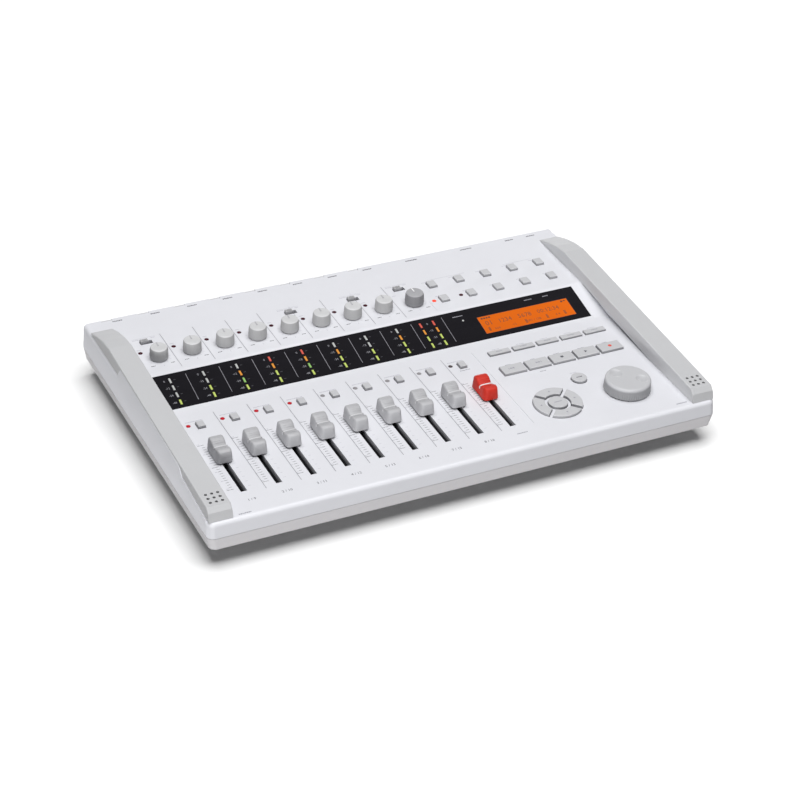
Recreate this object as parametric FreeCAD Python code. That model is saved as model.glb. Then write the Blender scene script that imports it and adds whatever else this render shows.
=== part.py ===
import FreeCAD, Part
import math
import os

from FreeCAD import Vector

# A tabletop multitrack recorder, in millimetres. +X is the right hand side, +Y the rear with the
# sockets, +Z up. The origin is the centre of the footprint, on the surface that the feet stand on.

# Overall size
WIDTH = 376.0
FRONT_Y = -118.55
REAR_Y = 118.55
HALF_WIDTH = WIDTH / 2
# Places across the panel are given for a width of 376 and spread with the width
SPREAD = WIDTH / 376.0
CORNER_RADIUS = 5.0
REAR_CORNER_RADIUS = 1.5

# Heights above the table
FOOT_HEIGHT = 2.5
LIP_Z = 14.0
SEAM_Z = 23.3
LOW_Z = 34.0
HIGH_Z = 42.0
SLOPE_FRONT_Y = 5.0
SLOPE_REAR_Y = 42.0

# Shell
WALL = 2.2
SEAM_GAP = 0.3
SEAT_GAP = 0.1
PART_GAP = 0.3
SIDE_DRAFT = 0.055
FRONT_DRAFT = 0.145
SKIRT_INSET_SIDE = 1.7
SKIRT_INSET_FRONT = 0.85
TONGUE_WALL = 1.0
TONGUE_HEIGHT = 1.8
PANEL_EDGE_RADIUS = 3.0
REAR_EDGE_RADIUS = 0.5
TUB_INSET = 16.0
TUB_TAPER = 3.0
TUB_SIDE_INSET = 4.0
TUB_SIDE_TAPER = 6.2
REAR_PANEL_INSET = 4.4
GROOVE_WIDTH = 0.5
GROOVE_DEPTH = 0.25

# Channel strips: eight tracks and a master
CHANNELS = 9
TRACKS = 8
CHANNEL_PITCH = 24.4 * SPREAD
FIRST_CHANNEL_X = -153.2 * SPREAD
SEPARATOR_UPPER_OFFSET = 10.9 * SPREAD
SEPARATOR_LOWER_OFFSET = 14.4 * SPREAD
SEPARATOR_LOWER_Y = (-94.5, -3.0)
SEPARATOR_UPPER_Y = (44.5, 88.0)
LAST_SEPARATOR_REAR_Y = 58.0

# Rotary level controls
KNOB_Y = 60.0
KNOB_RADIUS = 6.5
KNOB_TOP_RADIUS = 6.1
KNOB_HEIGHT = 9.2
MONITOR_KNOB_RADIUS = 6.9
KNOB_LIFT = 0.5
SHAFT_RADIUS = 3.0
RUNNING_CLEARANCE = 0.05
PANEL_HOLE_CLEARANCE = 0.6
POT_WIDTH = 10.0
POT_DEPTH = 11.0
POT_FLOOR = 1.2

# Faders
SLOT_WIDTH = 4.3
FADER_FRONT_Y = -87.0
FADER_TRAVEL = 45.0
FADER_REST_Y = -51.5
FADER_LEVER_LENGTH = 6.0
FADER_LEVER_WIDTH = 1.6
FADER_END_GAP = 2.0
FADER_LEVER_BOTTOM_Z = 26.0
FADER_BODY_WIDTH = 8.0
FADER_BODY_OVERHANG = 4.0
CAP_LENGTH = 19.6
CAP_WIDTH = 11.0
CAP_TAIL_WIDTH = 10.0
CAP_TOP_WIDTH = 9.0
CAP_NOSE = 3.4
CAP_LIFT = 1.4
CAP_HEIGHT = 10.4
CAP_SADDLE = 7.4

# Keys
KEY_CLEARANCE = 0.3
KEY_RISE = 2.0
KEY_TRAVEL = 0.6
KEY_FLANGE = 0.8
KEY_FLANGE_THICKNESS = 1.0
KEY_STEM = 3.0
KEY_EDGE_RADIUS = 0.5
RUNNER_WIDTH = 1.5
TRACK_KEY_OFFSET = 0.9
TRACK_KEY_Y = -14.8
TRACK_KEY_SIZE = (5.2, 6.4)
FUNCTION_KEYS = 5
FUNCTION_KEY_X = 64.6 * SPREAD
FUNCTION_KEY_PITCH = 22.2 * SPREAD
FUNCTION_KEY_REAR_Y = 77.2
FUNCTION_KEY_FRONT_Y = 56.8
FUNCTION_KEY_SIZE = (6.2, 7.2)
SOFT_KEY_X = 75.0 * SPREAD
SOFT_KEY_PITCH = 19.35 * SPREAD
SOFT_KEY_Y = -9.8
SOFT_KEY_GAP = 2.75
SOFT_KEY_SIZE = (SOFT_KEY_PITCH - SOFT_KEY_GAP, 4.6)
SOFT_KEY_RISE = 1.5
TRANSPORT_KEY_X = 73.7 * SPREAD
TRANSPORT_KEY_PITCH = 19.5 * SPREAD
TRANSPORT_KEY_Y = -32.8
TRANSPORT_KEY_GAP = 2.1
TRANSPORT_KEY_SIZE = (TRANSPORT_KEY_PITCH - TRANSPORT_KEY_GAP, 9.7)
EXIT_KEY_XY = (111.4 * SPREAD, -59.6)
EXIT_KEY_RADIUS = 5.5
RING_XY = (82.8 * SPREAD, -80.6)
RING_OUTER_RADIUS = 17.2
RING_INNER_RADIUS = 9.2
RING_RIB = 2.6
ENTER_KEY_RADIUS = 6.8

# Jog dial
DIAL_XY = (136.8 * SPREAD, -82.0)
DIAL_RADIUS = 16.5
DIAL_TOP_RADIUS = 15.9
DIAL_HEIGHT = 9.2
DIAL_LIFT = 0.8
DIAL_GROOVES = 60
DIAL_GROOVE_RADIUS = 0.6
DIAL_EDGE_RADIUS = 1.6
DIAL_GROOVE_STOP = 3.2
DIMPLE_RADIUS = 4.6
DIMPLE_DEPTH = 1.3
DIMPLE_OFFSET = 9.6
DIMPLE_ANGLES = (122.0, -28.0)
ENCODER_SIZE = 12.0

# Lamps
LAMP_RADIUS = 1.5
LAMP_CLEARANCE = 0.15
LAMP_DOME = 0.5
LAMP_LENGTH = 5.0
PEAK_LAMP_OFFSET = (-10.0, 9.6)
TRACK_LAMP_OFFSET = -7.0
TRACK_LAMP_Y = -12.6
STATUS_LAMPS = ((56.8 * SPREAD, 57.3), (78.8 * SPREAD, 57.6))

# Black meter and display window, on the slope
WINDOW_X = (-168.0 * SPREAD, 160.3 * SPREAD)
WINDOW_SLOPE = (3.2, 35.4)
WINDOW_THICKNESS = 1.2
WINDOW_LEDGE = 2.0
WINDOW_CLEARANCE = 0.15
METER_OFFSET = -2.1
METER_SEGMENTS = 4
METER_FIRST_SLOPE = 8.6
METER_SEGMENT_PITCH = 6.9
SEGMENT_SIZE = (1.6, 4.6)
MASTER_METER_X = (34.4 * SPREAD, 44.6 * SPREAD)
WINDOW_LAMP = (66.4 * SPREAD, 25.4)
DISPLAY_CENTRE = (114.0 * SPREAD, 16.8)
DISPLAY_SIZE = (73.4 * SPREAD, 17.0)
DISPLAY_BODY = (82.0 * SPREAD, 22.0, 6.0)

# Slide switches on the rear panel strip
SWITCH_ACTUATOR = (5.4, 3.4, 2.4)
SWITCH_THROW = 3.0
SWITCH_BODY = (11.0, 6.0)
SWITCH_NECK = 2.0
SWITCH_FLOOR = 2.0
SWITCH_OFFSETS = {
    "guitar_input_switch": (0, -3.0, 81.0),
    "phantom_switch": (4, 8.1, 80.4),
    "built_in_mic_switch": (6, 8.0, 80.2),
    "monitor_switch": (8, -4.0, 80.6),
}

# Side rails
RAIL_INNER_X = HALF_WIDTH - 18.0
RAIL_OUTER_X = HALF_WIDTH - 1.5
RAIL_REAR_Y = 105.9
RAIL_RAMP_TOP_Y = 68.8
RAIL_FRONT_Y = -115.0
RAIL_TOP_REAR_Z = 52.2
RAIL_TOP_FRONT_Z = 43.3
RAIL_TOP_FRONT_Y = -110.5
RAIL_WALL = 2.0
RAIL_EDGE_RADIUS = 0.9
BRIDGE_REAR_Y = 49.0
BRIDGE_FRONT_Y = -60.0
WEB_INNER_X = HALF_WIDTH - 3.0
WEB_LIP = 1.5
WEB_TAIL_Y = -112.0
PLINTH_INNER_X = HALF_WIDTH - 15.2
MIC_CENTRE = (HALF_WIDTH - 9.8, -102.8)
MIC_HOLE_PITCH = 4.1
MIC_HOLE_RADIUS = 1.05
MIC_CAPSULE_RADIUS = 4.2
MIC_BOOT_RADIUS = 4.6

# Boards
BOARD_THICKNESS = 1.6
BOARD_HALF_WIDTH = HALF_WIDTH - 29.7
FRONT_BOARD_TOP_Z = 23.5
FRONT_BOARD_Y = (-101.0, -6.0)
REAR_BOARD_TOP_Z = 33.0
REAR_BOARD_Y = (46.0, 86.0)
BOARD_POST_RADIUS = 2.5
BOARD_POST_INSET = 4.3
FRONT_POST_Y = (-97.0, -27.0)
REAR_POST_Y = (50.0, 74.5)
CONTROL_POSTS = ((60.0 * SPREAD, -60.0), (110.0 * SPREAD, -46.0), (110.0 * SPREAD, -97.0))
FUNCTION_POSTS = ((98.0 * SPREAD, 66.5), (142.4 * SPREAD, 66.5))
TACT_SIZE = 6.0
TACT_HEIGHT = 3.5
TACT_PLUNGER_RADIUS = 1.7
TACT_PLUNGER_HEIGHT = 0.4

# Rear sockets
JACK_PITCH = 27.2 * SPREAD
LAST_JACK_X = 19.7 * SPREAD
JACK_Z = 21.0
JACK_FACE_RADIUS = 11.9
JACK_FLANGE_GAP = 2.6
JACK_FLANGE = (JACK_PITCH - JACK_FLANGE_GAP, 31.0)
JACK_SHOULDER_Z = 16.6
JACK_KEEL = (4.1, 9.5)
JACK_DEPTH = 22.0
JACK_SHELL_RADIUS = 9.7
JACK_INSERT_RADIUS = 8.0
JACK_INSERT_RECESS = 3.0
JACK_SHELL_DEPTH = 14.0
PLUG_BORE_RADIUS = 3.3
PLUG_BORE_DEPTH = 19.0
PIN_HOLE_RADIUS = 1.3
PIN_HOLE_CIRCLE = 5.6
TAB_WIDTH = 7.0
TAB_NECK_Z = (37.2, 38.9)
TAB_TOP_Z = HIGH_Z - 0.6
TAB_THICKNESS = 1.7
TAB_NOTCH_GAP = 0.5
LINE_JACK_X = (52.0 * SPREAD, 80.0 * SPREAD, 111.7 * SPREAD)
LINE_JACK_Z = 27.0
LINE_BARREL_RADIUS = 5.6
LINE_BARREL_RECESS = 0.1
LINE_BODY = (15.0, 22.0, 15.0)
POWER_SWITCH_XZ = (146.7 * SPREAD, LINE_JACK_Z)
POWER_SWITCH_BODY = (14.0, 6.5, 7.0)
POWER_NECK_REACH = 4.0
POWER_ACTUATOR = (5.0, 3.2)
POWER_ACTUATOR_RECESS = 0.2
POWER_THROW = 4.0
POWER_INLET_X = 167.1 * SPREAD
POWER_INLET_BODY = (9.5, 13.0, 11.0)
POWER_INLET_RADIUS = 2.9
POWER_PIN_RADIUS = 1.0

# Right side sockets: (centre y, centre z, opening along y, opening along z, body depth)
SIDE_SOCKET_Z = 30.0
USB_HOST = (88.0, 13.1, 5.6, 14.0)
USB_DEVICE = (66.0, 9.0, 8.2, 16.0)
CARD_SOCKET = (29.0, 25.0, 3.0, 24.0)
COLLAR_MARGIN = (2.5, 1.7)
SOCKET_SHELL = 0.8

# Underside
SCREW_X = HALF_WIDTH - 24.0
SCREW_Y = (-95.0, -1.0, 88.0)
SCREW_RADIUS = 1.5
SCREW_HEAD_RADIUS = 2.8
SCREW_HEAD_HEIGHT = 2.0
SCREW_GRIP = 9.0
SCREW_BOSS_RADIUS = 4.4
SCREW_SINK_Z = 8.0
FOOT_X = HALF_WIDTH - 48.0
FOOT_Y = (-88.0, 98.0)
FOOT_RADIUS = 7.0
FOOT_STEM_RADIUS = 2.4
BAY_X = (-50.0, 50.0)
BAY_Y = (-72.0, -12.0)
BAY_WALL = 1.6
BAY_TOP_Z = 21.4
BAY_LEDGE = 2.0
BAY_LEDGE_THICKNESS = 1.2
DOOR_THICKNESS = 2.0
CELL_RADIUS = 7.25
CELLS = 6
DOOR_DROP = 12.0

# Worked out from the values above
SLOPE_ANGLE = math.degrees(math.atan2(HIGH_Z - LOW_Z, SLOPE_REAR_Y - SLOPE_FRONT_Y))
FLOOR_Z = FOOT_HEIGHT + WALL
LOW_INNER_Z = LOW_Z - WALL
HIGH_INNER_Z = HIGH_Z - WALL
SLOT_FRONT_Y = FADER_FRONT_Y - FADER_LEVER_LENGTH / 2 - FADER_END_GAP
SLOT_REAR_Y = FADER_FRONT_Y + FADER_TRAVEL + FADER_LEVER_LENGTH / 2 + FADER_END_GAP


def channel_x(index):
    return FIRST_CHANNEL_X + index * CHANNEL_PITCH


def box(x0, x1, y0, y1, z0, z1):
    return Part.makeBox(x1 - x0, y1 - y0, z1 - z0, Vector(x0, y0, z0))


def centred_box(x, y, size_x, size_y, z0, z1):
    return box(x - size_x / 2, x + size_x / 2, y - size_y / 2, y + size_y / 2, z0, z1)


def cylinder(x, y, z0, z1, radius):
    return Part.makeCylinder(radius, z1 - z0, Vector(x, y, z0))


def cylinder_y(x, z, y0, y1, radius):
    return Part.makeCylinder(radius, y1 - y0, Vector(x, y0, z), Vector(0, 1, 0))


def cone(x, y, z0, z1, radius0, radius1):
    return Part.makeCone(radius0, radius1, z1 - z0, Vector(x, y, z0))


def prism_x(outline, x0, x1):
    points = [Vector(x0, y, z) for y, z in outline]
    face = Part.Face(Part.makePolygon(points + points[:1]))
    return face.extrude(Vector(x1 - x0, 0, 0))


def tapered_box(lower, upper, radius):
    """Box whose walls lean, between two rectangles (x0, x1, y0, y1, z), with rounded upright corners."""
    x0, x1, y0, y1, z0 = lower
    u0, u1, v0, v1, z1 = upper
    wedge = Part.makeWedge(x0, z0, -y1, -v1, u0, x1, z1, -y0, -v0, u1)
    wedge.rotate(Vector(0, 0, 0), Vector(1, 0, 0), 90)
    upright = [edge for edge in wedge.Edges if abs(edge.Vertexes[0].Z - edge.Vertexes[1].Z) > 0.5]
    middle = (y0 + y1) / 2
    front = [edge for edge in upright if edge.CenterOfMass.y < middle]
    block = wedge.makeFillet(radius, front)
    rear = [edge for edge in block.Edges if edge.CenterOfMass.y > middle + abs(y1 - middle) / 2
            and abs(edge.Vertexes[0].Z - edge.Vertexes[-1].Z) > 0.5]
    return block.makeFillet(REAR_CORNER_RADIUS, rear).Solids[0]


def joined(shapes):
    first, *rest = shapes
    return first.multiFuse(rest).removeSplitter() if rest else first


def group(shapes):
    return Part.makeCompound(shapes)


def rounded(shape, radius, chosen):
    edges = [edge for edge in shape.Edges if chosen(edge.CenterOfMass)]
    return shape.makeFillet(radius, edges)


def mirrored(shape):
    return shape.mirror(Vector(0, 0, 0), Vector(1, 0, 0))


def on_slope(shape):
    """Stand a shape drawn flat (x, distance up the slope, height over it) on the sloped band."""
    turned = shape.copy()
    turned.rotate(Vector(0, 0, 0), Vector(1, 0, 0), SLOPE_ANGLE)
    turned.translate(Vector(0, SLOPE_FRONT_Y, LOW_Z))
    return turned


def panel_outline(drop, front, rear, bottom):
    """Side outline of the stepped panel, lowered by drop."""
    tangent = math.tan(math.radians(SLOPE_ANGLE))
    shift = drop * math.tan(math.radians(SLOPE_ANGLE) / 2)
    return [
        (front, bottom),
        (front, LOW_Z - drop),
        (SLOPE_FRONT_Y + shift, LOW_Z - drop),
        (SLOPE_FRONT_Y + shift + (HIGH_Z - LOW_Z) / tangent, HIGH_Z - drop),
        (rear, HIGH_Z - drop),
        (rear, bottom),
    ]


def envelope(inset, z0, z1, rear=REAR_Y):
    """Drafted outer walls between two heights, moved inwards by inset, with the rear end at rear."""
    radius = max(CORNER_RADIUS - inset, 1.0)

    def section(z):
        side = SIDE_DRAFT * (z - SEAM_Z)
        front = FRONT_DRAFT * (z - SEAM_Z)
        half = HALF_WIDTH - inset - side
        return (-half, half, FRONT_Y + inset + front, rear + 3 * inset, z)

    return tapered_box(section(z0), section(z1), radius)


def rail_top_z(y):
    share = (y - RAIL_TOP_FRONT_Y) / (RAIL_RAMP_TOP_Y - RAIL_TOP_FRONT_Y)
    return RAIL_TOP_FRONT_Z + share * (RAIL_TOP_REAR_Z - RAIL_TOP_FRONT_Z)


def web_outline(lift):
    """Outline of the raised side wall that closes the rail's bridge, raised by lift."""
    rear = BRIDGE_REAR_Y + lift
    front = BRIDGE_FRONT_Y - 2.0 - lift
    top_rear = rail_top_z(rear - 4.0) - WEB_LIP - SEAT_GAP + lift
    top_front = rail_top_z(front) - WEB_LIP - SEAT_GAP + lift
    return [
        (rear, HIGH_Z - WALL),
        (rear, HIGH_Z + 2.0 + lift),
        (rear - 4.0, top_rear),
        (front, top_front),
        (front - 4.0, top_front - 1.6),
        (front - 7.5, top_front - 5.4),
        (WEB_TAIL_Y, LOW_Z + lift),
        (WEB_TAIL_Y, LOW_Z - WALL),
        (SLOPE_FRONT_Y, LOW_Z - WALL),
        (SLOPE_REAR_Y, HIGH_Z - WALL),
    ]


def plinth_outline(drop):
    """Outline of the ridge under the rail's straight bridge, lowered by drop."""
    return [
        (SLOPE_REAR_Y, HIGH_Z - drop),
        (BRIDGE_FRONT_Y, LOW_Z - drop),
        (BRIDGE_FRONT_Y, LOW_Z - WALL),
        (SLOPE_FRONT_Y, LOW_Z - WALL),
        (SLOPE_REAR_Y, HIGH_Z - WALL),
    ]


def jack_positions():
    return [LAST_JACK_X - index * JACK_PITCH for index in range(TRACKS)]


def key_places():
    """Every key: (name, x, y, size, panel height), with a radius in place of size when round."""
    keys = []
    for index in range(CHANNELS):
        keys.append(("track", channel_x(index) + TRACK_KEY_OFFSET, TRACK_KEY_Y, TRACK_KEY_SIZE, LOW_Z))
    for index in range(FUNCTION_KEYS):
        x = FUNCTION_KEY_X + index * FUNCTION_KEY_PITCH
        keys.append(("function_rear", x, FUNCTION_KEY_REAR_Y, FUNCTION_KEY_SIZE, HIGH_Z))
        keys.append(("function_front", x, FUNCTION_KEY_FRONT_Y, FUNCTION_KEY_SIZE, HIGH_Z))
    for index in range(FUNCTION_KEYS):
        keys.append(("soft", SOFT_KEY_X + index * SOFT_KEY_PITCH, SOFT_KEY_Y, SOFT_KEY_SIZE, LOW_Z))
        x = TRANSPORT_KEY_X + index * TRANSPORT_KEY_PITCH
        keys.append(("transport", x, TRANSPORT_KEY_Y, TRANSPORT_KEY_SIZE, LOW_Z))
    keys.append(("exit", *EXIT_KEY_XY, EXIT_KEY_RADIUS, LOW_Z))
    keys.append(("enter", *RING_XY, ENTER_KEY_RADIUS, LOW_Z))
    return keys


def lamp_places():
    """Every panel lamp: (x, y, panel height)."""
    lamps = []
    for index in range(TRACKS):
        lamps.append((channel_x(index) + PEAK_LAMP_OFFSET[0], KNOB_Y + PEAK_LAMP_OFFSET[1], HIGH_Z))
    for index in range(CHANNELS):
        lamps.append((channel_x(index) + TRACK_LAMP_OFFSET, TRACK_LAMP_Y, LOW_Z))
    for x, y in STATUS_LAMPS:
        lamps.append((x, y, HIGH_Z))
    return lamps


def segment_places():
    """Every meter column: its x and the slope positions of its segments."""
    columns = [channel_x(index) + METER_OFFSET for index in range(TRACKS)]
    columns.extend(MASTER_METER_X)
    steps = [METER_FIRST_SLOPE + index * METER_SEGMENT_PITCH for index in range(METER_SEGMENTS)]
    return [(x, steps) for x in columns]


def board_posts():
    """Posts from the panel to the boards: (x, y, panel underside, board top)."""
    posts = []
    for index in (0, 3, 6):
        x = channel_x(index) + CHANNEL_PITCH / 2
        for y in FRONT_POST_Y:
            posts.append((x, y, LOW_INNER_Z, FRONT_BOARD_TOP_Z))
        for y in REAR_POST_Y:
            posts.append((x, y, HIGH_INNER_Z, REAR_BOARD_TOP_Z))
    corner = (BOARD_HALF_WIDTH - BOARD_POST_INSET, CONTROL_POSTS[0][1])
    for x, y in CONTROL_POSTS + (corner,):
        posts.append((x, y, LOW_INNER_Z, FRONT_BOARD_TOP_Z))
    for x, y in FUNCTION_POSTS:
        posts.append((x, y, HIGH_INNER_Z, REAR_BOARD_TOP_Z))
    return posts


def screw_places():
    return [(side * SCREW_X, y) for side in (-1, 1) for y in SCREW_Y]


def foot_places():
    return [(side * FOOT_X, y) for side in (-1, 1) for y in FOOT_Y]


def ring_sector(outer, inner, z0, z1, rib):
    """Four arc shapes between two radii, parted by diagonal ribs."""
    x, y = RING_XY
    full = cylinder(x, y, z0, z1, outer).cut(cylinder(x, y, z0 - 1, z1 + 1, inner))
    for angle in (45, 135):
        bar = centred_box(x, y, 2 * outer + 2, rib, z0 - 1, z1 + 1)
        bar.rotate(Vector(x, y, 0), Vector(0, 0, 1), angle)
        full = full.cut(bar)
    return full.Solids


def key_openings():
    cuts = []
    for _, x, y, size, panel_z in key_places():
        z0 = panel_z - WALL - 1
        z1 = panel_z + 1
        if isinstance(size, tuple):
            cuts.append(centred_box(x, y, size[0] + 2 * KEY_CLEARANCE, size[1] + 2 * KEY_CLEARANCE, z0, z1))
        else:
            cuts.append(cylinder(x, y, z0, z1, size + KEY_CLEARANCE))
    outer = RING_OUTER_RADIUS + KEY_CLEARANCE
    inner = RING_INNER_RADIUS - KEY_CLEARANCE
    cuts.extend(ring_sector(outer, inner, LOW_INNER_Z - 1, LOW_Z + 1, RING_RIB - 2 * KEY_CLEARANCE))
    return cuts


def control_openings():
    cuts = []
    hole = SHAFT_RADIUS + PANEL_HOLE_CLEARANCE
    for index in range(CHANNELS):
        x = channel_x(index)
        cuts.append(cylinder(x, KNOB_Y, HIGH_INNER_Z - 1, HIGH_Z + 1, hole))
        cuts.append(box(x - SLOT_WIDTH / 2, x + SLOT_WIDTH / 2, SLOT_FRONT_Y, SLOT_REAR_Y, LOW_INNER_Z - 1,
                        LOW_Z + 1))
    cuts.append(cylinder(*DIAL_XY, LOW_INNER_Z - 1, LOW_Z + 1, hole))
    for x, y, panel_z in lamp_places():
        cuts.append(cylinder(x, y, panel_z - WALL - 1, panel_z + 1, LAMP_RADIUS + LAMP_CLEARANCE))
    length = SWITCH_ACTUATOR[0] + SWITCH_THROW + 2 * KEY_CLEARANCE
    for channel, offset, y in SWITCH_OFFSETS.values():
        x = channel_x(channel) + offset + SWITCH_THROW / 2
        cuts.append(centred_box(x, y, length, SWITCH_ACTUATOR[1] + 2 * KEY_CLEARANCE, HIGH_INNER_Z - 1,
                                HIGH_Z + 1))
    return cuts


def window_openings():
    x0, x1 = WINDOW_X
    v0, v1 = WINDOW_SLOPE
    gap = WINDOW_CLEARANCE
    pocket = box(x0 - gap, x1 + gap, v0 - gap, v1 + gap, -WINDOW_THICKNESS - SEAT_GAP, 3.0)
    through = box(x0 + WINDOW_LEDGE, x1 - WINDOW_LEDGE, v0 + WINDOW_LEDGE, v1 - WINDOW_LEDGE, -2 * WALL, 0.0)
    return [on_slope(pocket), on_slope(through)]


def separator_grooves():
    cuts = []
    half = GROOVE_WIDTH / 2
    for index in range(CHANNELS):
        x = channel_x(index) + SEPARATOR_LOWER_OFFSET
        y0, y1 = SEPARATOR_LOWER_Y
        cuts.append(box(x - half, x + half, y0, y1, LOW_Z - GROOVE_DEPTH, LOW_Z + 1))
        x = channel_x(index) + SEPARATOR_UPPER_OFFSET
        y0, y1 = SEPARATOR_UPPER_Y
        if index == CHANNELS - 1:
            y1 = LAST_SEPARATOR_REAR_Y
        cuts.append(box(x - half, x + half, y0, y1, HIGH_Z - GROOVE_DEPTH, HIGH_Z + 1))
    return cuts


def side_socket_openings():
    cuts = []
    x0 = HALF_WIDTH - 2 * WALL - 2
    for y, size_y, size_z, _ in (USB_HOST, USB_DEVICE, CARD_SOCKET):
        reach_y = size_y / 2 + SOCKET_SHELL + SEAT_GAP
        reach_z = size_z / 2 + SOCKET_SHELL + SEAT_GAP
        cuts.append(box(x0, HALF_WIDTH + 1, y - reach_y, y + reach_y,
                        SIDE_SOCKET_Z - reach_z, SIDE_SOCKET_Z + reach_z))
    return cuts


def tongue_ring(grow):
    """The bottom shell's tongue inside the seam, its thickness and height grown by a clearance."""
    z1 = SEAM_Z + TONGUE_HEIGHT + grow
    outer = envelope(WALL - TONGUE_WALL - grow, SEAM_Z - WALL, z1)
    inner = envelope(WALL + grow, SEAM_Z - WALL - 1, z1 + 1)
    ring = outer.cut(inner)
    rear = box(-WIDTH, WIDTH, REAR_Y - WALL - CORNER_RADIUS, REAR_Y + WIDTH, 0, HIGH_Z)
    return ring.cut(rear)


def top_case():
    front, rear, side = FRONT_Y - CORNER_RADIUS, REAR_Y + CORNER_RADIUS, HALF_WIDTH + CORNER_RADIUS
    shell = envelope(0.0, SEAM_Z, RAIL_TOP_REAR_Z, rear + CORNER_RADIUS)
    outer = prism_x(panel_outline(0.0, front, rear, SEAM_Z), -side, side).common(shell)
    top_z = HIGH_Z - PANEL_EDGE_RADIUS - REAR_EDGE_RADIUS
    top_edges = (LOW_Z - 0.5, HIGH_Z + 0.5)
    outer = rounded(outer, PANEL_EDGE_RADIUS, lambda p: top_edges[0] < p.z < top_edges[1]
                    and (abs(p.x) > side - 2.2 * CORNER_RADIUS or p.y < front + 2.2 * CORNER_RADIUS)
                    and p.y < REAR_Y)
    outer = outer.cut(box(-side, side, REAR_Y, rear + side, 0, side))
    outer = rounded(outer, REAR_EDGE_RADIUS, lambda p: p.y > REAR_Y - 0.01 and p.z > top_z)
    ridges = []
    for sign in (-1, 1):
        web = prism_x(web_outline(0.0), sign * WEB_INNER_X, sign * side)
        plinth = prism_x(plinth_outline(SEAT_GAP), sign * PLINTH_INNER_X, sign * (WEB_INNER_X + 0.5))
        ridges.extend([web.common(shell), plinth])
    outer = joined([outer] + ridges)
    cavity = prism_x(panel_outline(WALL, front, rear, SEAM_Z - 1), -HALF_WIDTH, HALF_WIDTH)
    case = outer.cut(cavity.common(envelope(WALL, SEAM_Z - 1, HIGH_Z)))
    posts = [cylinder(x, y, z0, z1 + 0.5, BOARD_POST_RADIUS) for x, y, z1, z0 in board_posts()]
    for x, y in screw_places():
        inner_z = LOW_INNER_Z if y < SLOPE_FRONT_Y else HIGH_INNER_Z
        posts.append(cylinder(x, y, SEAM_Z - WALL, inner_z + 0.5, SCREW_BOSS_RADIUS - 0.4))
    case = joined([case] + posts)
    pilots = [cylinder(x, y, SEAM_Z - WALL - 1, LOW_INNER_Z - 2, SCREW_RADIUS) for x, y in screw_places()]
    cuts = key_openings() + control_openings() + window_openings() + separator_grooves()
    cuts.extend(side_socket_openings() + pilots + [tongue_ring(SEAT_GAP)])
    notch = TAB_WIDTH / 2 + TAB_NOTCH_GAP
    for x in jack_positions():
        cuts.append(box(x - notch, x + notch, REAR_Y - WALL, REAR_Y + 1, HIGH_INNER_Z - 1, HIGH_Z + 1))
    return case.cut(cuts)


def rail(side):
    """Light grey side rail: an inner body and an outer lip that bridges the raised web."""
    ramp = [
        (RAIL_REAR_Y, HIGH_Z + SEAT_GAP),
        ((RAIL_REAR_Y * 2 + RAIL_RAMP_TOP_Y) / 3, HIGH_Z + 4.9),
        ((RAIL_REAR_Y + RAIL_RAMP_TOP_Y * 2) / 3, HIGH_Z + 8.4),
        (RAIL_RAMP_TOP_Y, RAIL_TOP_REAR_Z),
    ]
    front = [
        (RAIL_TOP_FRONT_Y, RAIL_TOP_FRONT_Z),
        (RAIL_FRONT_Y + 1.6, RAIL_TOP_FRONT_Z - 3.2),
        (RAIL_FRONT_Y, LOW_Z + SEAT_GAP),
    ]
    under = [(BRIDGE_FRONT_Y, LOW_Z + SEAT_GAP), (SLOPE_REAR_Y, HIGH_Z + SEAT_GAP)]
    body = prism_x(ramp + front + under, RAIL_INNER_X, RAIL_OUTER_X)
    web = prism_x(web_outline(SEAT_GAP), WEB_INNER_X - SEAT_GAP, RAIL_OUTER_X + 2)
    body = body.cut(web)
    limit = RAIL_INNER_X + 0.1
    body = rounded(body, RAIL_EDGE_RADIUS, lambda p: (p.x < limit or p.x > RAIL_OUTER_X - 0.1)
                   and p.z > LOW_Z + 5 and (p.z > rail_top_z(p.y) - 0.6 or p.y > RAIL_RAMP_TOP_Y
                                            or p.y < RAIL_TOP_FRONT_Y)
                   and (p.z > HIGH_Z + 2 or p.y < 0))
    inner_top = [
        (RAIL_RAMP_TOP_Y + 12, HIGH_Z + 4.6),
        (RAIL_RAMP_TOP_Y - 2, RAIL_TOP_REAR_Z - RAIL_WALL - 0.2),
        (RAIL_TOP_FRONT_Y + 1, RAIL_TOP_FRONT_Z - RAIL_WALL),
        (RAIL_FRONT_Y + 4.5, LOW_Z - 1),
        (BRIDGE_FRONT_Y, LOW_Z - 1),
        (SLOPE_REAR_Y, HIGH_Z - 1),
        (RAIL_RAMP_TOP_Y + 12, HIGH_Z - 1),
    ]
    body = body.cut(prism_x(inner_top, RAIL_INNER_X + RAIL_WALL, WEB_INNER_X - RAIL_WALL))
    x, y = MIC_CENTRE
    holes = []
    for column in (-1, 0, 1):
        for row in (-1, 0, 1):
            place = (x + column * MIC_HOLE_PITCH, y + row * MIC_HOLE_PITCH)
            holes.append(cylinder(*place, LOW_Z + 4, RAIL_TOP_REAR_Z, MIC_HOLE_RADIUS))
    body = body.cut(holes)
    return body if side > 0 else mirrored(body)


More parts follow.
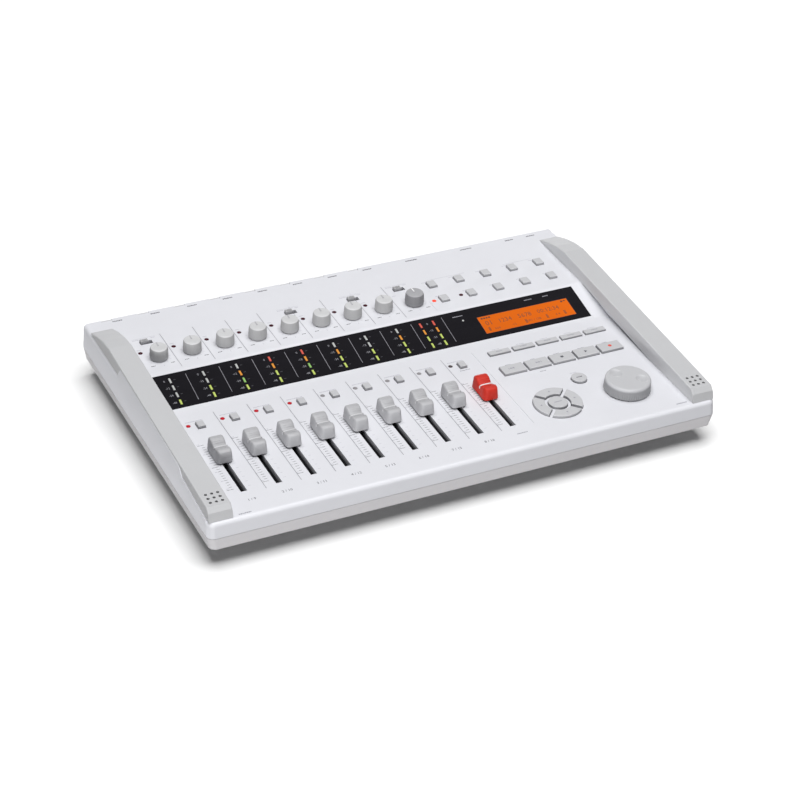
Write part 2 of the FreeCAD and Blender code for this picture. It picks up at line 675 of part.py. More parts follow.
def lower_shell():
    """Skirt, tub and rear wall in one, from which the rear panel is parted."""
    wall = WALL
    half = HALF_WIDTH
    lip = half - SKIRT_INSET_SIDE
    lip_y = FRONT_Y + SKIRT_INSET_FRONT
    skirt = tapered_box((-lip, lip, lip_y, REAR_Y, LIP_Z),
                        (-half, half, FRONT_Y, REAR_Y, SEAM_Z - SEAM_GAP), CORNER_RADIUS)
    skirt_in = tapered_box((-lip + wall, lip - wall, lip_y + wall, REAR_Y - wall, LIP_Z + wall),
                           (-half + wall, half - wall, FRONT_Y + wall, REAR_Y - wall, SEAM_Z + 1),
                           CORNER_RADIUS - wall)
    top = half - TUB_SIDE_INSET
    base = top - TUB_SIDE_TAPER
    top_y = FRONT_Y + TUB_INSET
    base_y = top_y + TUB_TAPER
    tub = tapered_box((-base, base, base_y, REAR_Y, FOOT_HEIGHT),
                      (-top, top, top_y, REAR_Y, LIP_Z + wall / 2), CORNER_RADIUS)
    tub_in = tapered_box((-base + wall, base - wall, base_y + wall, REAR_Y - wall, FLOOR_Z),
                         (-top + wall, top - wall, top_y + wall, REAR_Y - wall, LIP_Z + wall + 1),
                         CORNER_RADIUS - wall)
    rear_half = HALF_WIDTH - WALL - PART_GAP - SIDE_DRAFT * (HIGH_Z - SEAM_Z)
    rear_wall = box(-rear_half, rear_half, REAR_Y - WALL, REAR_Y, LIP_Z + WALL, HIGH_INNER_Z - SEAM_GAP)
    case = joined([skirt, tub]).cut([skirt_in, tub_in])
    case = joined([case, rear_wall, tongue_ring(0.0)])
    bay = box(BAY_X[0] - BAY_WALL, BAY_X[1] + BAY_WALL, BAY_Y[0] - BAY_WALL, BAY_Y[1] + BAY_WALL,
              FOOT_HEIGHT, BAY_TOP_Z)
    bosses = [cylinder(x, y, FOOT_HEIGHT, SEAM_Z - WALL - SEAT_GAP, SCREW_BOSS_RADIUS)
              for x, y in screw_places()]
    case = joined([case, bay] + bosses)
    door_gap = PART_GAP + BAY_LEDGE
    ledge_z = FOOT_HEIGHT + DOOR_THICKNESS + PART_GAP + BAY_LEDGE_THICKNESS
    cuts = [
        box(*BAY_X, *BAY_Y, ledge_z, BAY_TOP_Z - BAY_WALL),
        box(BAY_X[0] + door_gap, BAY_X[1] - door_gap, BAY_Y[0] + door_gap, BAY_Y[1] - door_gap, 0,
            ledge_z + 1),
        box(BAY_X[0] - PART_GAP, BAY_X[1] + PART_GAP, BAY_Y[0] - PART_GAP, BAY_Y[1] + PART_GAP,
            FOOT_HEIGHT - 1, FOOT_HEIGHT + DOOR_THICKNESS + PART_GAP),
    ]
    for x, y in screw_places():
        cuts.append(cylinder(x, y, FOOT_HEIGHT - 1, SCREW_SINK_Z, SCREW_HEAD_RADIUS + SEAT_GAP))
        cuts.append(cylinder(x, y, FOOT_HEIGHT, SEAM_Z, SCREW_RADIUS + SEAT_GAP))
    for x, y in foot_places():
        cuts.append(cylinder(x, y, FOOT_HEIGHT - 1, FLOOR_Z + 1, FOOT_STEM_RADIUS + SEAT_GAP))
    for x in jack_positions():
        cuts.append(cylinder_y(x, JACK_Z, REAR_Y - WALL - 1, REAR_Y + 1, JACK_FACE_RADIUS + SEAT_GAP))
        cuts.append(box(x - TAB_WIDTH / 2 - SEAT_GAP, x + TAB_WIDTH / 2 + SEAT_GAP, REAR_Y - WALL - 1,
                        REAR_Y + 1, TAB_NECK_Z[0] - SEAT_GAP, HIGH_Z))
    for x in LINE_JACK_X:
        cuts.append(cylinder_y(x, LINE_JACK_Z, REAR_Y - WALL - 1, REAR_Y + 1, LINE_BARREL_RADIUS + SEAT_GAP))
    cuts.append(cylinder_y(POWER_INLET_X, LINE_JACK_Z, REAR_Y - WALL - 1, REAR_Y + 1,
                           POWER_INLET_RADIUS + 1.2))
    x, z = POWER_SWITCH_XZ
    cuts.append(box(x - POWER_ACTUATOR[0] / 2 - KEY_CLEARANCE,
                    x + POWER_ACTUATOR[0] / 2 + POWER_THROW + KEY_CLEARANCE, REAR_Y - WALL - 1, REAR_Y + 1,
                    z - POWER_ACTUATOR[1] / 2 - KEY_CLEARANCE, z + POWER_ACTUATOR[1] / 2 + KEY_CLEARANCE))
    return case.cut(cuts)


def rear_slab(grow):
    """Block that holds the rear panel, its faces moved outwards by grow."""
    side = HALF_WIDTH - REAR_PANEL_INSET + grow
    return box(-side, side, REAR_Y - WALL - grow, REAR_Y + 1, 0, HIGH_Z)


def meter_window():
    x0, x1 = WINDOW_X
    plate = box(x0, x1, *WINDOW_SLOPE, -WINDOW_THICKNESS, 0)
    cuts = []
    for x, steps in segment_places():
        for v in steps:
            cuts.append(centred_box(x, v, SEGMENT_SIZE[0] + 2 * LAMP_CLEARANCE,
                                    SEGMENT_SIZE[1] + 2 * LAMP_CLEARANCE, -2, 1))
    cuts.append(cylinder(*WINDOW_LAMP, -2, 1, 0.9))
    cuts.append(centred_box(*DISPLAY_CENTRE, DISPLAY_SIZE[0] + 2 * LAMP_CLEARANCE,
                            DISPLAY_SIZE[1] + 2 * LAMP_CLEARANCE, -2, 1))
    return on_slope(plate.cut(cuts))


def display_module():
    size_x, size_v, depth = DISPLAY_BODY
    under = -WINDOW_THICKNESS - SEAT_GAP
    body = centred_box(*DISPLAY_CENTRE, size_x, size_v, under - depth, under)
    glass = centred_box(*DISPLAY_CENTRE, *DISPLAY_SIZE, under - 0.5, -0.25)
    return on_slope(joined([body, glass]))


def meter_leds():
    under = -WINDOW_THICKNESS - SEAT_GAP
    pieces = []
    for x, steps in segment_places():
        middle = (steps[0] + steps[-1]) / 2
        length = steps[-1] - steps[0] + SEGMENT_SIZE[1]
        bar = centred_box(x, middle, SEGMENT_SIZE[0] + 2.4, length, under - 4.0, under)
        pips = [centred_box(x, v, *SEGMENT_SIZE, under - 0.5, -0.05) for v in steps]
        pieces.append(on_slope(joined([bar] + pips)))
    return group(pieces)


def indicator_leds():
    pieces = []
    for x, y, panel_z in lamp_places():
        body = cylinder(x, y, panel_z - LAMP_LENGTH, panel_z, LAMP_RADIUS)
        dome_radius = (LAMP_RADIUS ** 2 + LAMP_DOME ** 2) / (2 * LAMP_DOME)
        ball = Part.makeSphere(dome_radius, Vector(x, y, panel_z + LAMP_DOME - dome_radius))
        dome = ball.common(cylinder(x, y, panel_z - 0.2, panel_z + 1, LAMP_RADIUS))
        pieces.append(joined([body, dome]))
    stud = cylinder(*WINDOW_LAMP, -WINDOW_THICKNESS - 3.5, -0.05, 0.8)
    pieces.append(on_slope(stud))
    return group(pieces)


def circuit_boards():
    half = BOARD_HALF_WIDTH
    front = box(-half, half, *FRONT_BOARD_Y, FRONT_BOARD_TOP_Z - BOARD_THICKNESS, FRONT_BOARD_TOP_Z)
    rear = box(-half, half, *REAR_BOARD_Y, REAR_BOARD_TOP_Z - BOARD_THICKNESS, REAR_BOARD_TOP_Z)
    return group([front, rear])


def fader_bodies():
    pieces = []
    y0 = SLOT_FRONT_Y - FADER_BODY_OVERHANG
    y1 = SLOT_REAR_Y + FADER_BODY_OVERHANG
    width = FADER_LEVER_WIDTH + 1.0
    for index in range(CHANNELS):
        x = channel_x(index)
        body = centred_box(x, (y0 + y1) / 2, FADER_BODY_WIDTH, y1 - y0, FRONT_BOARD_TOP_Z,
                           LOW_INNER_Z - SEAT_GAP)
        channel = box(x - width / 2, x + width / 2, SLOT_FRONT_Y, SLOT_REAR_Y,
                      FADER_LEVER_BOTTOM_Z - PART_GAP, LOW_Z)
        pieces.append(body.cut(channel))
    return pieces


def pot_bodies():
    pieces = []
    bore = SHAFT_RADIUS + RUNNING_CLEARANCE
    for index in range(CHANNELS):
        x = channel_x(index)
        body = centred_box(x, KNOB_Y, POT_WIDTH, POT_DEPTH, REAR_BOARD_TOP_Z, HIGH_INNER_Z - SEAT_GAP)
        pieces.append(body.cut(cylinder(x, KNOB_Y, REAR_BOARD_TOP_Z + POT_FLOOR, HIGH_Z, bore)))
    encoder = centred_box(*DIAL_XY, ENCODER_SIZE, ENCODER_SIZE, FRONT_BOARD_TOP_Z, LOW_INNER_Z - SEAT_GAP)
    pieces.append(encoder.cut(cylinder(*DIAL_XY, FRONT_BOARD_TOP_Z + POT_FLOOR, LOW_Z, bore)))
    return pieces


def switch_bodies():
    """Push switches under the keys, and the bodies of the slide switches."""
    pieces = []
    places = [(x, y, panel_z) for _, x, y, _, panel_z in key_places()]
    reach = (RING_OUTER_RADIUS + RING_INNER_RADIUS) / 2
    for dx, dy in ((0, reach), (0, -reach), (reach, 0), (-reach, 0)):
        places.append((RING_XY[0] + dx, RING_XY[1] + dy, LOW_Z))
    for x, y, panel_z in places:
        base = FRONT_BOARD_TOP_Z if panel_z == LOW_Z else REAR_BOARD_TOP_Z
        body = centred_box(x, y, TACT_SIZE, TACT_SIZE, base, base + TACT_HEIGHT)
        plunger = cylinder(x, y, base + TACT_HEIGHT - 0.5, base + TACT_HEIGHT + TACT_PLUNGER_HEIGHT,
                           TACT_PLUNGER_RADIUS)
        pieces.append(joined([body, plunger]))
    for channel, offset, y in SWITCH_OFFSETS.values():
        x = channel_x(channel) + offset + SWITCH_THROW / 2
        body = centred_box(x, y, *SWITCH_BODY, REAR_BOARD_TOP_Z, HIGH_INNER_Z - SEAT_GAP)
        trench = centred_box(x, y, SWITCH_THROW + SWITCH_NECK + 2 * PART_GAP, SWITCH_NECK + 2 * PART_GAP,
                             REAR_BOARD_TOP_Z + SWITCH_FLOOR, HIGH_Z)
        pieces.append(body.cut(trench))
    x, z = POWER_SWITCH_XZ
    middle = x + POWER_THROW / 2
    y1 = REAR_Y - WALL - SEAT_GAP
    width, depth, height = POWER_SWITCH_BODY
    body = box(middle - width / 2, middle + width / 2, y1 - depth, y1, z - height / 2, z + height / 2)
    reach = (POWER_THROW + SWITCH_NECK) / 2 + PART_GAP
    trench = box(middle - reach, middle + reach, y1 - POWER_NECK_REACH - PART_GAP, y1 + 1,
                 z - SWITCH_NECK / 2 - PART_GAP, z + SWITCH_NECK / 2 + PART_GAP)
    pieces.append(body.cut(trench))
    return group(pieces)


def input_jack(x):
    """Combined three-pin and plug socket with its release tab in a notch of the rear edge."""
    face_y = REAR_Y - SEAT_GAP
    flange_y = REAR_Y - WALL - SEAT_GAP
    back_y = REAR_Y - JACK_DEPTH
    barrel = cylinder_y(x, JACK_Z, flange_y, face_y, JACK_FACE_RADIUS)
    half = JACK_FLANGE[0] / 2
    low = JACK_Z - JACK_FLANGE[1] / 2
    high = JACK_Z + JACK_FLANGE[1] / 2
    outline = [(-half, high), (-half, JACK_SHOULDER_Z), (-JACK_KEEL[1], JACK_SHOULDER_Z),
               (-JACK_KEEL[0], low), (JACK_KEEL[0], low), (JACK_KEEL[1], JACK_SHOULDER_Z),
               (half, JACK_SHOULDER_Z), (half, high)]
    points = [Vector(x + dx, back_y, z) for dx, z in outline]
    flange = Part.Face(Part.makePolygon(points + points[:1])).extrude(Vector(0, flange_y - back_y, 0))
    neck = box(x - TAB_WIDTH / 2, x + TAB_WIDTH / 2, flange_y - 6, face_y, *TAB_NECK_Z)
    seat = box(x - TAB_WIDTH / 2, x + TAB_WIDTH / 2, flange_y - 6, flange_y,
               JACK_Z + JACK_FLANGE[1] / 2 - 1, TAB_NECK_Z[1])
    pad = box(x - TAB_WIDTH / 2, x + TAB_WIDTH / 2, face_y - TAB_THICKNESS, face_y, TAB_NECK_Z[0], TAB_TOP_Z)
    body = joined([barrel, flange, neck, seat, pad])
    shell = cylinder_y(x, JACK_Z, REAR_Y - JACK_SHELL_DEPTH, REAR_Y + 1, JACK_SHELL_RADIUS)
    insert = cylinder_y(x, JACK_Z, REAR_Y - JACK_SHELL_DEPTH - 1, REAR_Y - JACK_INSERT_RECESS,
                        JACK_INSERT_RADIUS)
    body = joined([body.cut(shell), insert])
    cuts = [cylinder_y(x, JACK_Z, REAR_Y - JACK_INSERT_RECESS - PLUG_BORE_DEPTH + 1, REAR_Y + 1,
                       PLUG_BORE_RADIUS)]
    for angle in (-30, 90, 210):
        px = x + PIN_HOLE_CIRCLE * math.cos(math.radians(angle))
        pz = JACK_Z + PIN_HOLE_CIRCLE * math.sin(math.radians(angle))
        cuts.append(cylinder_y(px, pz, REAR_Y - 12, REAR_Y, PIN_HOLE_RADIUS))
    return body.cut(cuts)


def input_jacks():
    return group([input_jack(x) for x in jack_positions()])


def line_jacks():
    pieces = []
    width, depth, height = LINE_BODY
    y1 = REAR_Y - WALL - SEAT_GAP
    for x in LINE_JACK_X:
        body = box(x - width / 2, x + width / 2, y1 - depth, y1, LINE_JACK_Z - height / 2,
                   LINE_JACK_Z + height / 2)
        barrel = cylinder_y(x, LINE_JACK_Z, y1 - 1, REAR_Y - LINE_BARREL_RECESS, LINE_BARREL_RADIUS)
        bore = cylinder_y(x, LINE_JACK_Z, y1 - depth + 2, REAR_Y + 5, PLUG_BORE_RADIUS)
        pieces.append(joined([body, barrel]).cut(bore))
    return group(pieces)


def power_inlet():
    width, depth, height = POWER_INLET_BODY
    x = POWER_INLET_X
    y1 = REAR_Y - WALL - SEAT_GAP
    body = box(x - width / 2, x + width / 2, y1 - depth, y1, LINE_JACK_Z - height / 2,
               LINE_JACK_Z + height / 2)
    nose = cylinder_y(x, LINE_JACK_Z, y1 - 1, REAR_Y - SEAT_GAP, POWER_INLET_RADIUS + 1.1)
    bore = cylinder_y(x, LINE_JACK_Z, y1 - depth + 2, REAR_Y + 1, POWER_INLET_RADIUS)
    pin = cylinder_y(x, LINE_JACK_Z, y1 - depth + 1, REAR_Y - 2.0, POWER_PIN_RADIUS)
    return joined([joined([body, nose]).cut(bore), pin])


def side_sockets():
    """Two data sockets and the memory card socket, in the right hand wall."""
    pieces = []
    face_x = HALF_WIDTH - 1.2
    for y, size_y, size_z, depth in (USB_HOST, USB_DEVICE, CARD_SOCKET):
        shell = box(face_x - depth, face_x, y - size_y / 2 - SOCKET_SHELL, y + size_y / 2 + SOCKET_SHELL,
                    SIDE_SOCKET_Z - size_z / 2 - SOCKET_SHELL, SIDE_SOCKET_Z + size_z / 2 + SOCKET_SHELL)
        mouth = box(face_x - depth + SOCKET_SHELL, face_x + 1, y - size_y / 2, y + size_y / 2,
                    SIDE_SOCKET_Z - size_z / 2, SIDE_SOCKET_Z + size_z / 2)
        socket = shell.cut(mouth)
        if size_z > 4:
            tongue = box(face_x - depth + SOCKET_SHELL - 0.2, face_x - 1.5, y - size_y / 2 + 2,
                         y + size_y / 2 - 2, SIDE_SOCKET_Z - 1.0, SIDE_SOCKET_Z + 1.0)
            socket = joined([socket, tongue])
        stop_x = HALF_WIDTH - SIDE_DRAFT * (HIGH_Z - SEAM_Z) - WALL - SEAT_GAP
        reach_y = size_y / 2 + COLLAR_MARGIN[0]
        reach_z = size_z / 2 + COLLAR_MARGIN[1]
        collar = box(stop_x - 1.2, stop_x, y - reach_y, y + reach_y, SIDE_SOCKET_Z - reach_z,
                     SIDE_SOCKET_Z + reach_z)
        collar = collar.cut(box(0, HALF_WIDTH, y - size_y / 2 - 0.1, y + size_y / 2 + 0.1,
                                SIDE_SOCKET_Z - size_z / 2 - 0.1, SIDE_SOCKET_Z + size_z / 2 + 0.1))
        pieces.append(joined([socket, collar]))
    return group(pieces)


def mic_capsules():
    x, y = MIC_CENTRE
    boot = cylinder(x, y, LOW_Z, LOW_Z + 3.0, MIC_BOOT_RADIUS)
    capsule = cylinder(x, y, LOW_Z + 2.0, RAIL_TOP_FRONT_Z - RAIL_WALL - 2 * PART_GAP, MIC_CAPSULE_RADIUS)
    right = joined([boot, capsule])
    return group([right, mirrored(right)])


def rubber_feet():
    pieces = []
    for x, y in foot_places():
        pad = cone(x, y, 0, FOOT_HEIGHT, FOOT_RADIUS - 0.6, FOOT_RADIUS)
        stem = cylinder(x, y, FOOT_HEIGHT - 0.5, FLOOR_Z, FOOT_STEM_RADIUS)
        pieces.append(joined([pad, stem]))
    return group(pieces)


def case_screws():
    pieces = []
    for x, y in screw_places():
        head = cylinder(x, y, SCREW_SINK_Z - SCREW_HEAD_HEIGHT, SCREW_SINK_Z, SCREW_HEAD_RADIUS)
        shank = cylinder(x, y, SCREW_SINK_Z - 0.5, SEAM_Z + SCREW_GRIP / 2, SCREW_RADIUS - SEAT_GAP)
        slots = [centred_box(x, y, 3.2, 0.8, 0, SCREW_SINK_Z - 1.0),
                 centred_box(x, y, 0.8, 3.2, 0, SCREW_SINK_Z - 1.0)]
        pieces.append(joined([head, shank]).cut(slots))
    return group(pieces)


def battery_door():
    gap = PART_GAP / 2
    plate = box(BAY_X[0], BAY_X[1], BAY_Y[0], BAY_Y[1], FOOT_HEIGHT, FOOT_HEIGHT + DOOR_THICKNESS)
    grips = []
    for index in range(5):
        y = BAY_Y[0] + 6.0 + index * 2.2
        grips.append(box(-12.0, 12.0, y, y + 1.0, FOOT_HEIGHT - gap, FOOT_HEIGHT + 0.6))
    return plate.cut(grips)


def battery_contacts():
    """Flat contact strips on the two end walls of the battery bay."""
    pieces = []
    pitch = (BAY_X[1] - BAY_X[0]) / CELLS
    for index in range(CELLS):
        x = BAY_X[0] + (index + 0.5) * pitch
        for y0, y1 in ((BAY_Y[0] + SEAT_GAP, BAY_Y[0] + 0.6), (BAY_Y[1] - 0.6, BAY_Y[1] - SEAT_GAP)):
            pieces.append(box(x - CELL_RADIUS * 0.6, x + CELL_RADIUS * 0.6, y0, y1, FLOOR_Z + 3.0,
                              BAY_TOP_Z - BAY_WALL - 1.0))
    return group(pieces)


def key_solid(x, y, size, panel_z, rise):
    inner_z = panel_z - WALL
    flange_z = inner_z - PART_GAP
    board = FRONT_BOARD_TOP_Z if panel_z == LOW_Z else REAR_BOARD_TOP_Z
    stem_z = board + TACT_HEIGHT + TACT_PLUNGER_HEIGHT + KEY_TRAVEL + PART_GAP
    top = panel_z + rise
    if isinstance(size, tuple):
        cap = centred_box(x, y, *size, flange_z - KEY_FLANGE_THICKNESS / 2, top)
        flange = centred_box(x, y, size[0] + 2 * KEY_FLANGE, size[1] + 2 * KEY_FLANGE,
                             flange_z - KEY_FLANGE_THICKNESS, flange_z)
    else:
        cap = cylinder(x, y, flange_z - KEY_FLANGE_THICKNESS / 2, top, size)
        flange = cylinder(x, y, flange_z - KEY_FLANGE_THICKNESS, flange_z, size + KEY_FLANGE)
    cap = rounded(cap, KEY_EDGE_RADIUS, lambda p: p.z > top - 0.01)
    stem = centred_box(x, y, KEY_STEM, KEY_STEM, stem_z, flange_z - KEY_FLANGE_THICKNESS / 2)
    return joined([cap, flange, stem])


def key_strip(kind, rise, runner_shift):
    """A row of keys moulded with one runner under the panel."""
    keys = [place for place in key_places() if place[0] == kind]
    solids = [key_solid(x, y, size, panel_z, rise) for _, x, y, size, panel_z in keys]
    _, first_x, y, _, panel_z = keys[0]
    last_x = keys[-1][1]
    z1 = panel_z - WALL - PART_GAP
    runner = box(first_x, last_x, y + runner_shift - RUNNER_WIDTH / 2, y + runner_shift + RUNNER_WIDTH / 2,
                 z1 - KEY_FLANGE_THICKNESS, z1)
    return joined(solids + [runner])


def single_key(kind, index, rise):
    keys = [place for place in key_places() if place[0] == kind]
    _, x, y, size, panel_z = keys[index]
    return key_solid(x, y, size, panel_z, rise)


def cursor_keys():
    """Four arc keys around the centre key, in the order of their direction."""
    top = LOW_Z + KEY_RISE
    flange_z = LOW_INNER_Z - PART_GAP
    caps = ring_sector(RING_OUTER_RADIUS, RING_INNER_RADIUS, flange_z - KEY_FLANGE_THICKNESS / 2, top,
                       RING_RIB)
    lower = flange_z - KEY_FLANGE_THICKNESS
    flanges = ring_sector(RING_OUTER_RADIUS + KEY_FLANGE, RING_INNER_RADIUS - 0.2, lower, flange_z,
                          RING_RIB - 1.2)
    reach = (RING_OUTER_RADIUS + RING_INNER_RADIUS) / 2
    stem_z = FRONT_BOARD_TOP_Z + TACT_HEIGHT + TACT_PLUNGER_HEIGHT + KEY_TRAVEL + PART_GAP
    keys = {}
    for name, dx, dy in (("cursor_up_key", 0, 1), ("cursor_down_key", 0, -1),
                         ("cursor_left_key", -1, 0), ("cursor_right_key", 1, 0)):
        centre = Vector(RING_XY[0] + dx * reach, RING_XY[1] + dy * reach, 0)

        def nearest(solids):
            return min(solids, key=lambda s: (Vector(s.CenterOfMass.x, s.CenterOfMass.y, 0) - centre).Length)

        cap = rounded(nearest(caps), KEY_EDGE_RADIUS, lambda p: p.z > top - 0.01)
        stem = centred_box(centre.x, centre.y, KEY_STEM, KEY_STEM, stem_z, flange_z - 0.2)
        keys[name] = joined([cap, nearest(flanges), stem])
    return keys


def knob(x, y, radius):
    z0 = HIGH_Z + KNOB_LIFT
    z1 = HIGH_Z + KNOB_HEIGHT
    top_radius = radius - (KNOB_RADIUS - KNOB_TOP_RADIUS)
    body = cone(x, y, z0, z1, radius, top_radius)
    body = rounded(body, 0.6, lambda p: p.z > z1 - 0.01)
    line = box(x - 0.4, x + 0.4, y + top_radius * 0.25, y + radius + 1, z1 - 0.5, z1 + 1)
    flank = box(x - 0.4, x + 0.4, y + top_radius - 0.3, y + radius + 1, z0 + 2.0, z1 + 1)
    shaft = cylinder(x, y, REAR_BOARD_TOP_Z + POT_FLOOR + PART_GAP, z0 + 0.5, SHAFT_RADIUS)
    return joined([body.cut([line, flank]), shaft])


def fader(index):
    """Fader cap with a hump each side of its finger saddle, on a lever that goes down the slot."""
    x = channel_x(index)
    y = FADER_REST_Y
    z0 = LOW_Z + CAP_LIFT
    top = z0 + CAP_HEIGHT
    saddle = LOW_Z + CAP_SADDLE
    half = CAP_LENGTH / 2
    outline = [
        (y - half + 0.4, z0),
        (y - half, z0 + 2.4),
        (y - half + 0.7, top - 4.6),
        (y - half + 2.2, top - 2.7),
        (y - half + 4.2, top - 2.0),
        (y - half + 6.2, top - 2.5),
        (y - 1.2, saddle + 0.7),
        (y + 1.2, saddle + 0.7),
        (y + half - 5.4, top - 1.7),
        (y + half - 3.2, top - 1.0),
        (y + half - 1.2, top - 1.3),
        (y + half - 0.5, top - 2.2),
        (y + half, z0 + 2.4),
        (y + half - 0.4, z0),
    ]
    cap = prism_x(outline, x - CAP_WIDTH / 2, x + CAP_WIDTH / 2)
    nose = half - CAP_NOSE
    plan = Part.Wire([
        Part.makeLine(Vector(x - CAP_WIDTH / 2, y - nose, z0), Vector(x - CAP_TAIL_WIDTH / 2, y + half, z0)),
        Part.makeLine(Vector(x - CAP_TAIL_WIDTH / 2, y + half, z0),
                      Vector(x + CAP_TAIL_WIDTH / 2, y + half, z0)),
        Part.makeLine(Vector(x + CAP_TAIL_WIDTH / 2, y + half, z0), Vector(x + CAP_WIDTH / 2, y - nose, z0)),
        Part.Arc(Vector(x + CAP_WIDTH / 2, y - nose, z0), Vector(x, y - half, z0),
                 Vector(x - CAP_WIDTH / 2, y - nose, z0)).toShape(),
    ])
    cap = cap.common(Part.Face(plan).extrude(Vector(0, 0, 2 * CAP_HEIGHT)))
    flanks = [Vector(x + dx, y - CAP_LENGTH, z) for dx, z in (
        (-CAP_WIDTH / 2 - 0.1, z0 - 1), (CAP_WIDTH / 2 + 0.1, z0 - 1),
        (CAP_TOP_WIDTH / 2 + 0.5, top - 2.6), (CAP_TOP_WIDTH / 2 - 0.6, top),
        (-CAP_TOP_WIDTH / 2 + 0.6, top), (-CAP_TOP_WIDTH / 2 - 0.5, top - 2.6))]
    cross = Part.Face(Part.makePolygon(flanks + flanks[:1])).extrude(Vector(0, 2 * CAP_LENGTH, 0))
    cap = cap.common(cross)
    line = box(x - CAP_WIDTH, x + CAP_WIDTH, y - 0.5, y + 0.5, saddle, top + 1)
    lever = centred_box(x, y, FADER_LEVER_WIDTH, FADER_LEVER_LENGTH, FADER_LEVER_BOTTOM_Z, z0 + 2)
    return joined([cap.cut(line), lever])


def jog_dial():
    x, y = DIAL_XY
    z0 = LOW_Z + DIAL_LIFT
    z1 = LOW_Z + DIAL_HEIGHT
    body = cone(x, y, z0, z1, DIAL_RADIUS, DIAL_TOP_RADIUS)
    body = rounded(body, DIAL_EDGE_RADIUS, lambda p: p.z > z1 - 0.01)
    cuts = []
    for index in range(DIAL_GROOVES):
        angle = 2 * math.pi * index / DIAL_GROOVES
        reach = DIAL_RADIUS + DIAL_GROOVE_RADIUS * 0.35
        cuts.append(cylinder(x + reach * math.cos(angle), y + reach * math.sin(angle), z0 - 1,
                             z1 - DIAL_GROOVE_STOP, DIAL_GROOVE_RADIUS))
    ball = (DIMPLE_RADIUS ** 2 + DIMPLE_DEPTH ** 2) / (2 * DIMPLE_DEPTH)
    for degrees in DIMPLE_ANGLES:
        angle = math.radians(degrees)
        place = Vector(x + DIMPLE_OFFSET * math.cos(angle), y + DIMPLE_OFFSET * math.sin(angle),
                       z1 + ball - DIMPLE_DEPTH)
        cuts.append(Part.makeSphere(ball, place))
    shaft = cylinder(x, y, FRONT_BOARD_TOP_Z + POT_FLOOR + PART_GAP, z0 + 0.5, SHAFT_RADIUS)
    return joined([body.cut(cuts), shaft])


def slide_switch(channel, offset, y):
    x = channel_x(channel) + offset
    length, width, rise = SWITCH_ACTUATOR
    head = centred_box(x, y, length, width, HIGH_INNER_Z + PART_GAP, HIGH_Z + rise)
    top = HIGH_Z + rise
    head = rounded(head, 0.4, lambda p: p.z > top - 0.01)
    ridges = [centred_box(x + step, y, 0.5, width + 1, top - 0.5, top + 1) for step in (-1.2, 0.0, 1.2)]
    neck = centred_box(x, y, SWITCH_NECK, SWITCH_NECK, REAR_BOARD_TOP_Z + SWITCH_FLOOR + PART_GAP,
                       HIGH_INNER_Z + 1)
    return joined([head.cut(ridges), neck])


def power_switch():
    x, z = POWER_SWITCH_XZ
    width, height = POWER_ACTUATOR
    face_y = REAR_Y - POWER_ACTUATOR_RECESS
    head = box(x - width / 2, x + width / 2, REAR_Y - WALL + PART_GAP, face_y, z - height / 2,
               z + height / 2)
    half = SWITCH_NECK / 2
    neck = box(x - half, x + half, REAR_Y - WALL - SEAT_GAP - POWER_NECK_REACH, REAR_Y - WALL + 1,
               z - half, z + half)
    return joined([head, neck])


def parts():
    """Every node of the recorder, by name."""
    shell = lower_shell()
    nodes = {
        "top_case": top_case(),
        "bottom_case": shell.cut(rear_slab(SEAT_GAP)),
        "rear_panel": shell.common(rear_slab(0.0)),
        "left_rail": rail(-1),
        "right_rail": rail(1),
        "meter_window": meter_window(),
        "display_module": display_module(),
        "meter_leds": meter_leds(),
        "indicator_leds": indicator_leds(),
        "circuit_boards": circuit_boards(),
        "control_bodies": group(fader_bodies() + pot_bodies()),
        "switch_bodies": switch_bodies(),
        "input_jacks": input_jacks(),
        "line_jacks": line_jacks(),
        "power_inlet": power_inlet(),
        "side_sockets": side_sockets(),
        "mic_capsules": mic_capsules(),
        "rubber_feet": rubber_feet(),
        "case_screws": case_screws(),
        "battery_contacts": battery_contacts(),
        "battery_door": battery_door(),
        "jog_dial": jog_dial(),
        "power_switch": power_switch(),
        "monitor_knob": knob(channel_x(TRACKS), KNOB_Y, MONITOR_KNOB_RADIUS),
        "master_fader": fader(TRACKS),
        "track_keys": key_strip("track", KEY_RISE, -3.2),
        "function_keys_rear": key_strip("function_rear", KEY_RISE, 3.6),
        "function_keys_front": key_strip("function_front", KEY_RISE, 3.6),
        "soft_keys": key_strip("soft", SOFT_KEY_RISE, 0.0),
        "exit_key": single_key("exit", 0, KEY_RISE),
        "enter_key": single_key("enter", 0, KEY_RISE),
    }
    for index in range(TRACKS):
        nodes[f"gain_knob_{index + 1}"] = knob(channel_x(index), KNOB_Y, KNOB_RADIUS)
        nodes[f"track_fader_{index + 1}"] = fader(index)
    transport = ("rewind_key", "forward_key", "stop_key", "play_key", "record_key")
    for index, name in enumerate(transport):
        nodes[name] = single_key("transport", index, KEY_RISE)
    for name, place in SWITCH_OFFSETS.items():
        nodes[name] = slide_switch(*place)
    nodes.update(cursor_keys())
    return nodes


def main():
    os.makedirs("parts", exist_ok=True)
    for name, shape in parts().items():
        if not shape.isValid():
            print("not valid:", name)
        print(f"{name}: {len(shape.Solids)} solids, {shape.Volume / 1000:.2f} cm3")
        shape.exportStep(os.path.join("parts", f"{name}.step"))


main()
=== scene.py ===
"""Dresses the desktop multitrack recorder: finishes, controls, printed marks and a plain studio."""

import logging
import math
from dataclasses import dataclass
from enum import Enum
from typing import Callable, Iterable, Sequence

import bmesh
import bpy
from mathutils import Matrix, Vector


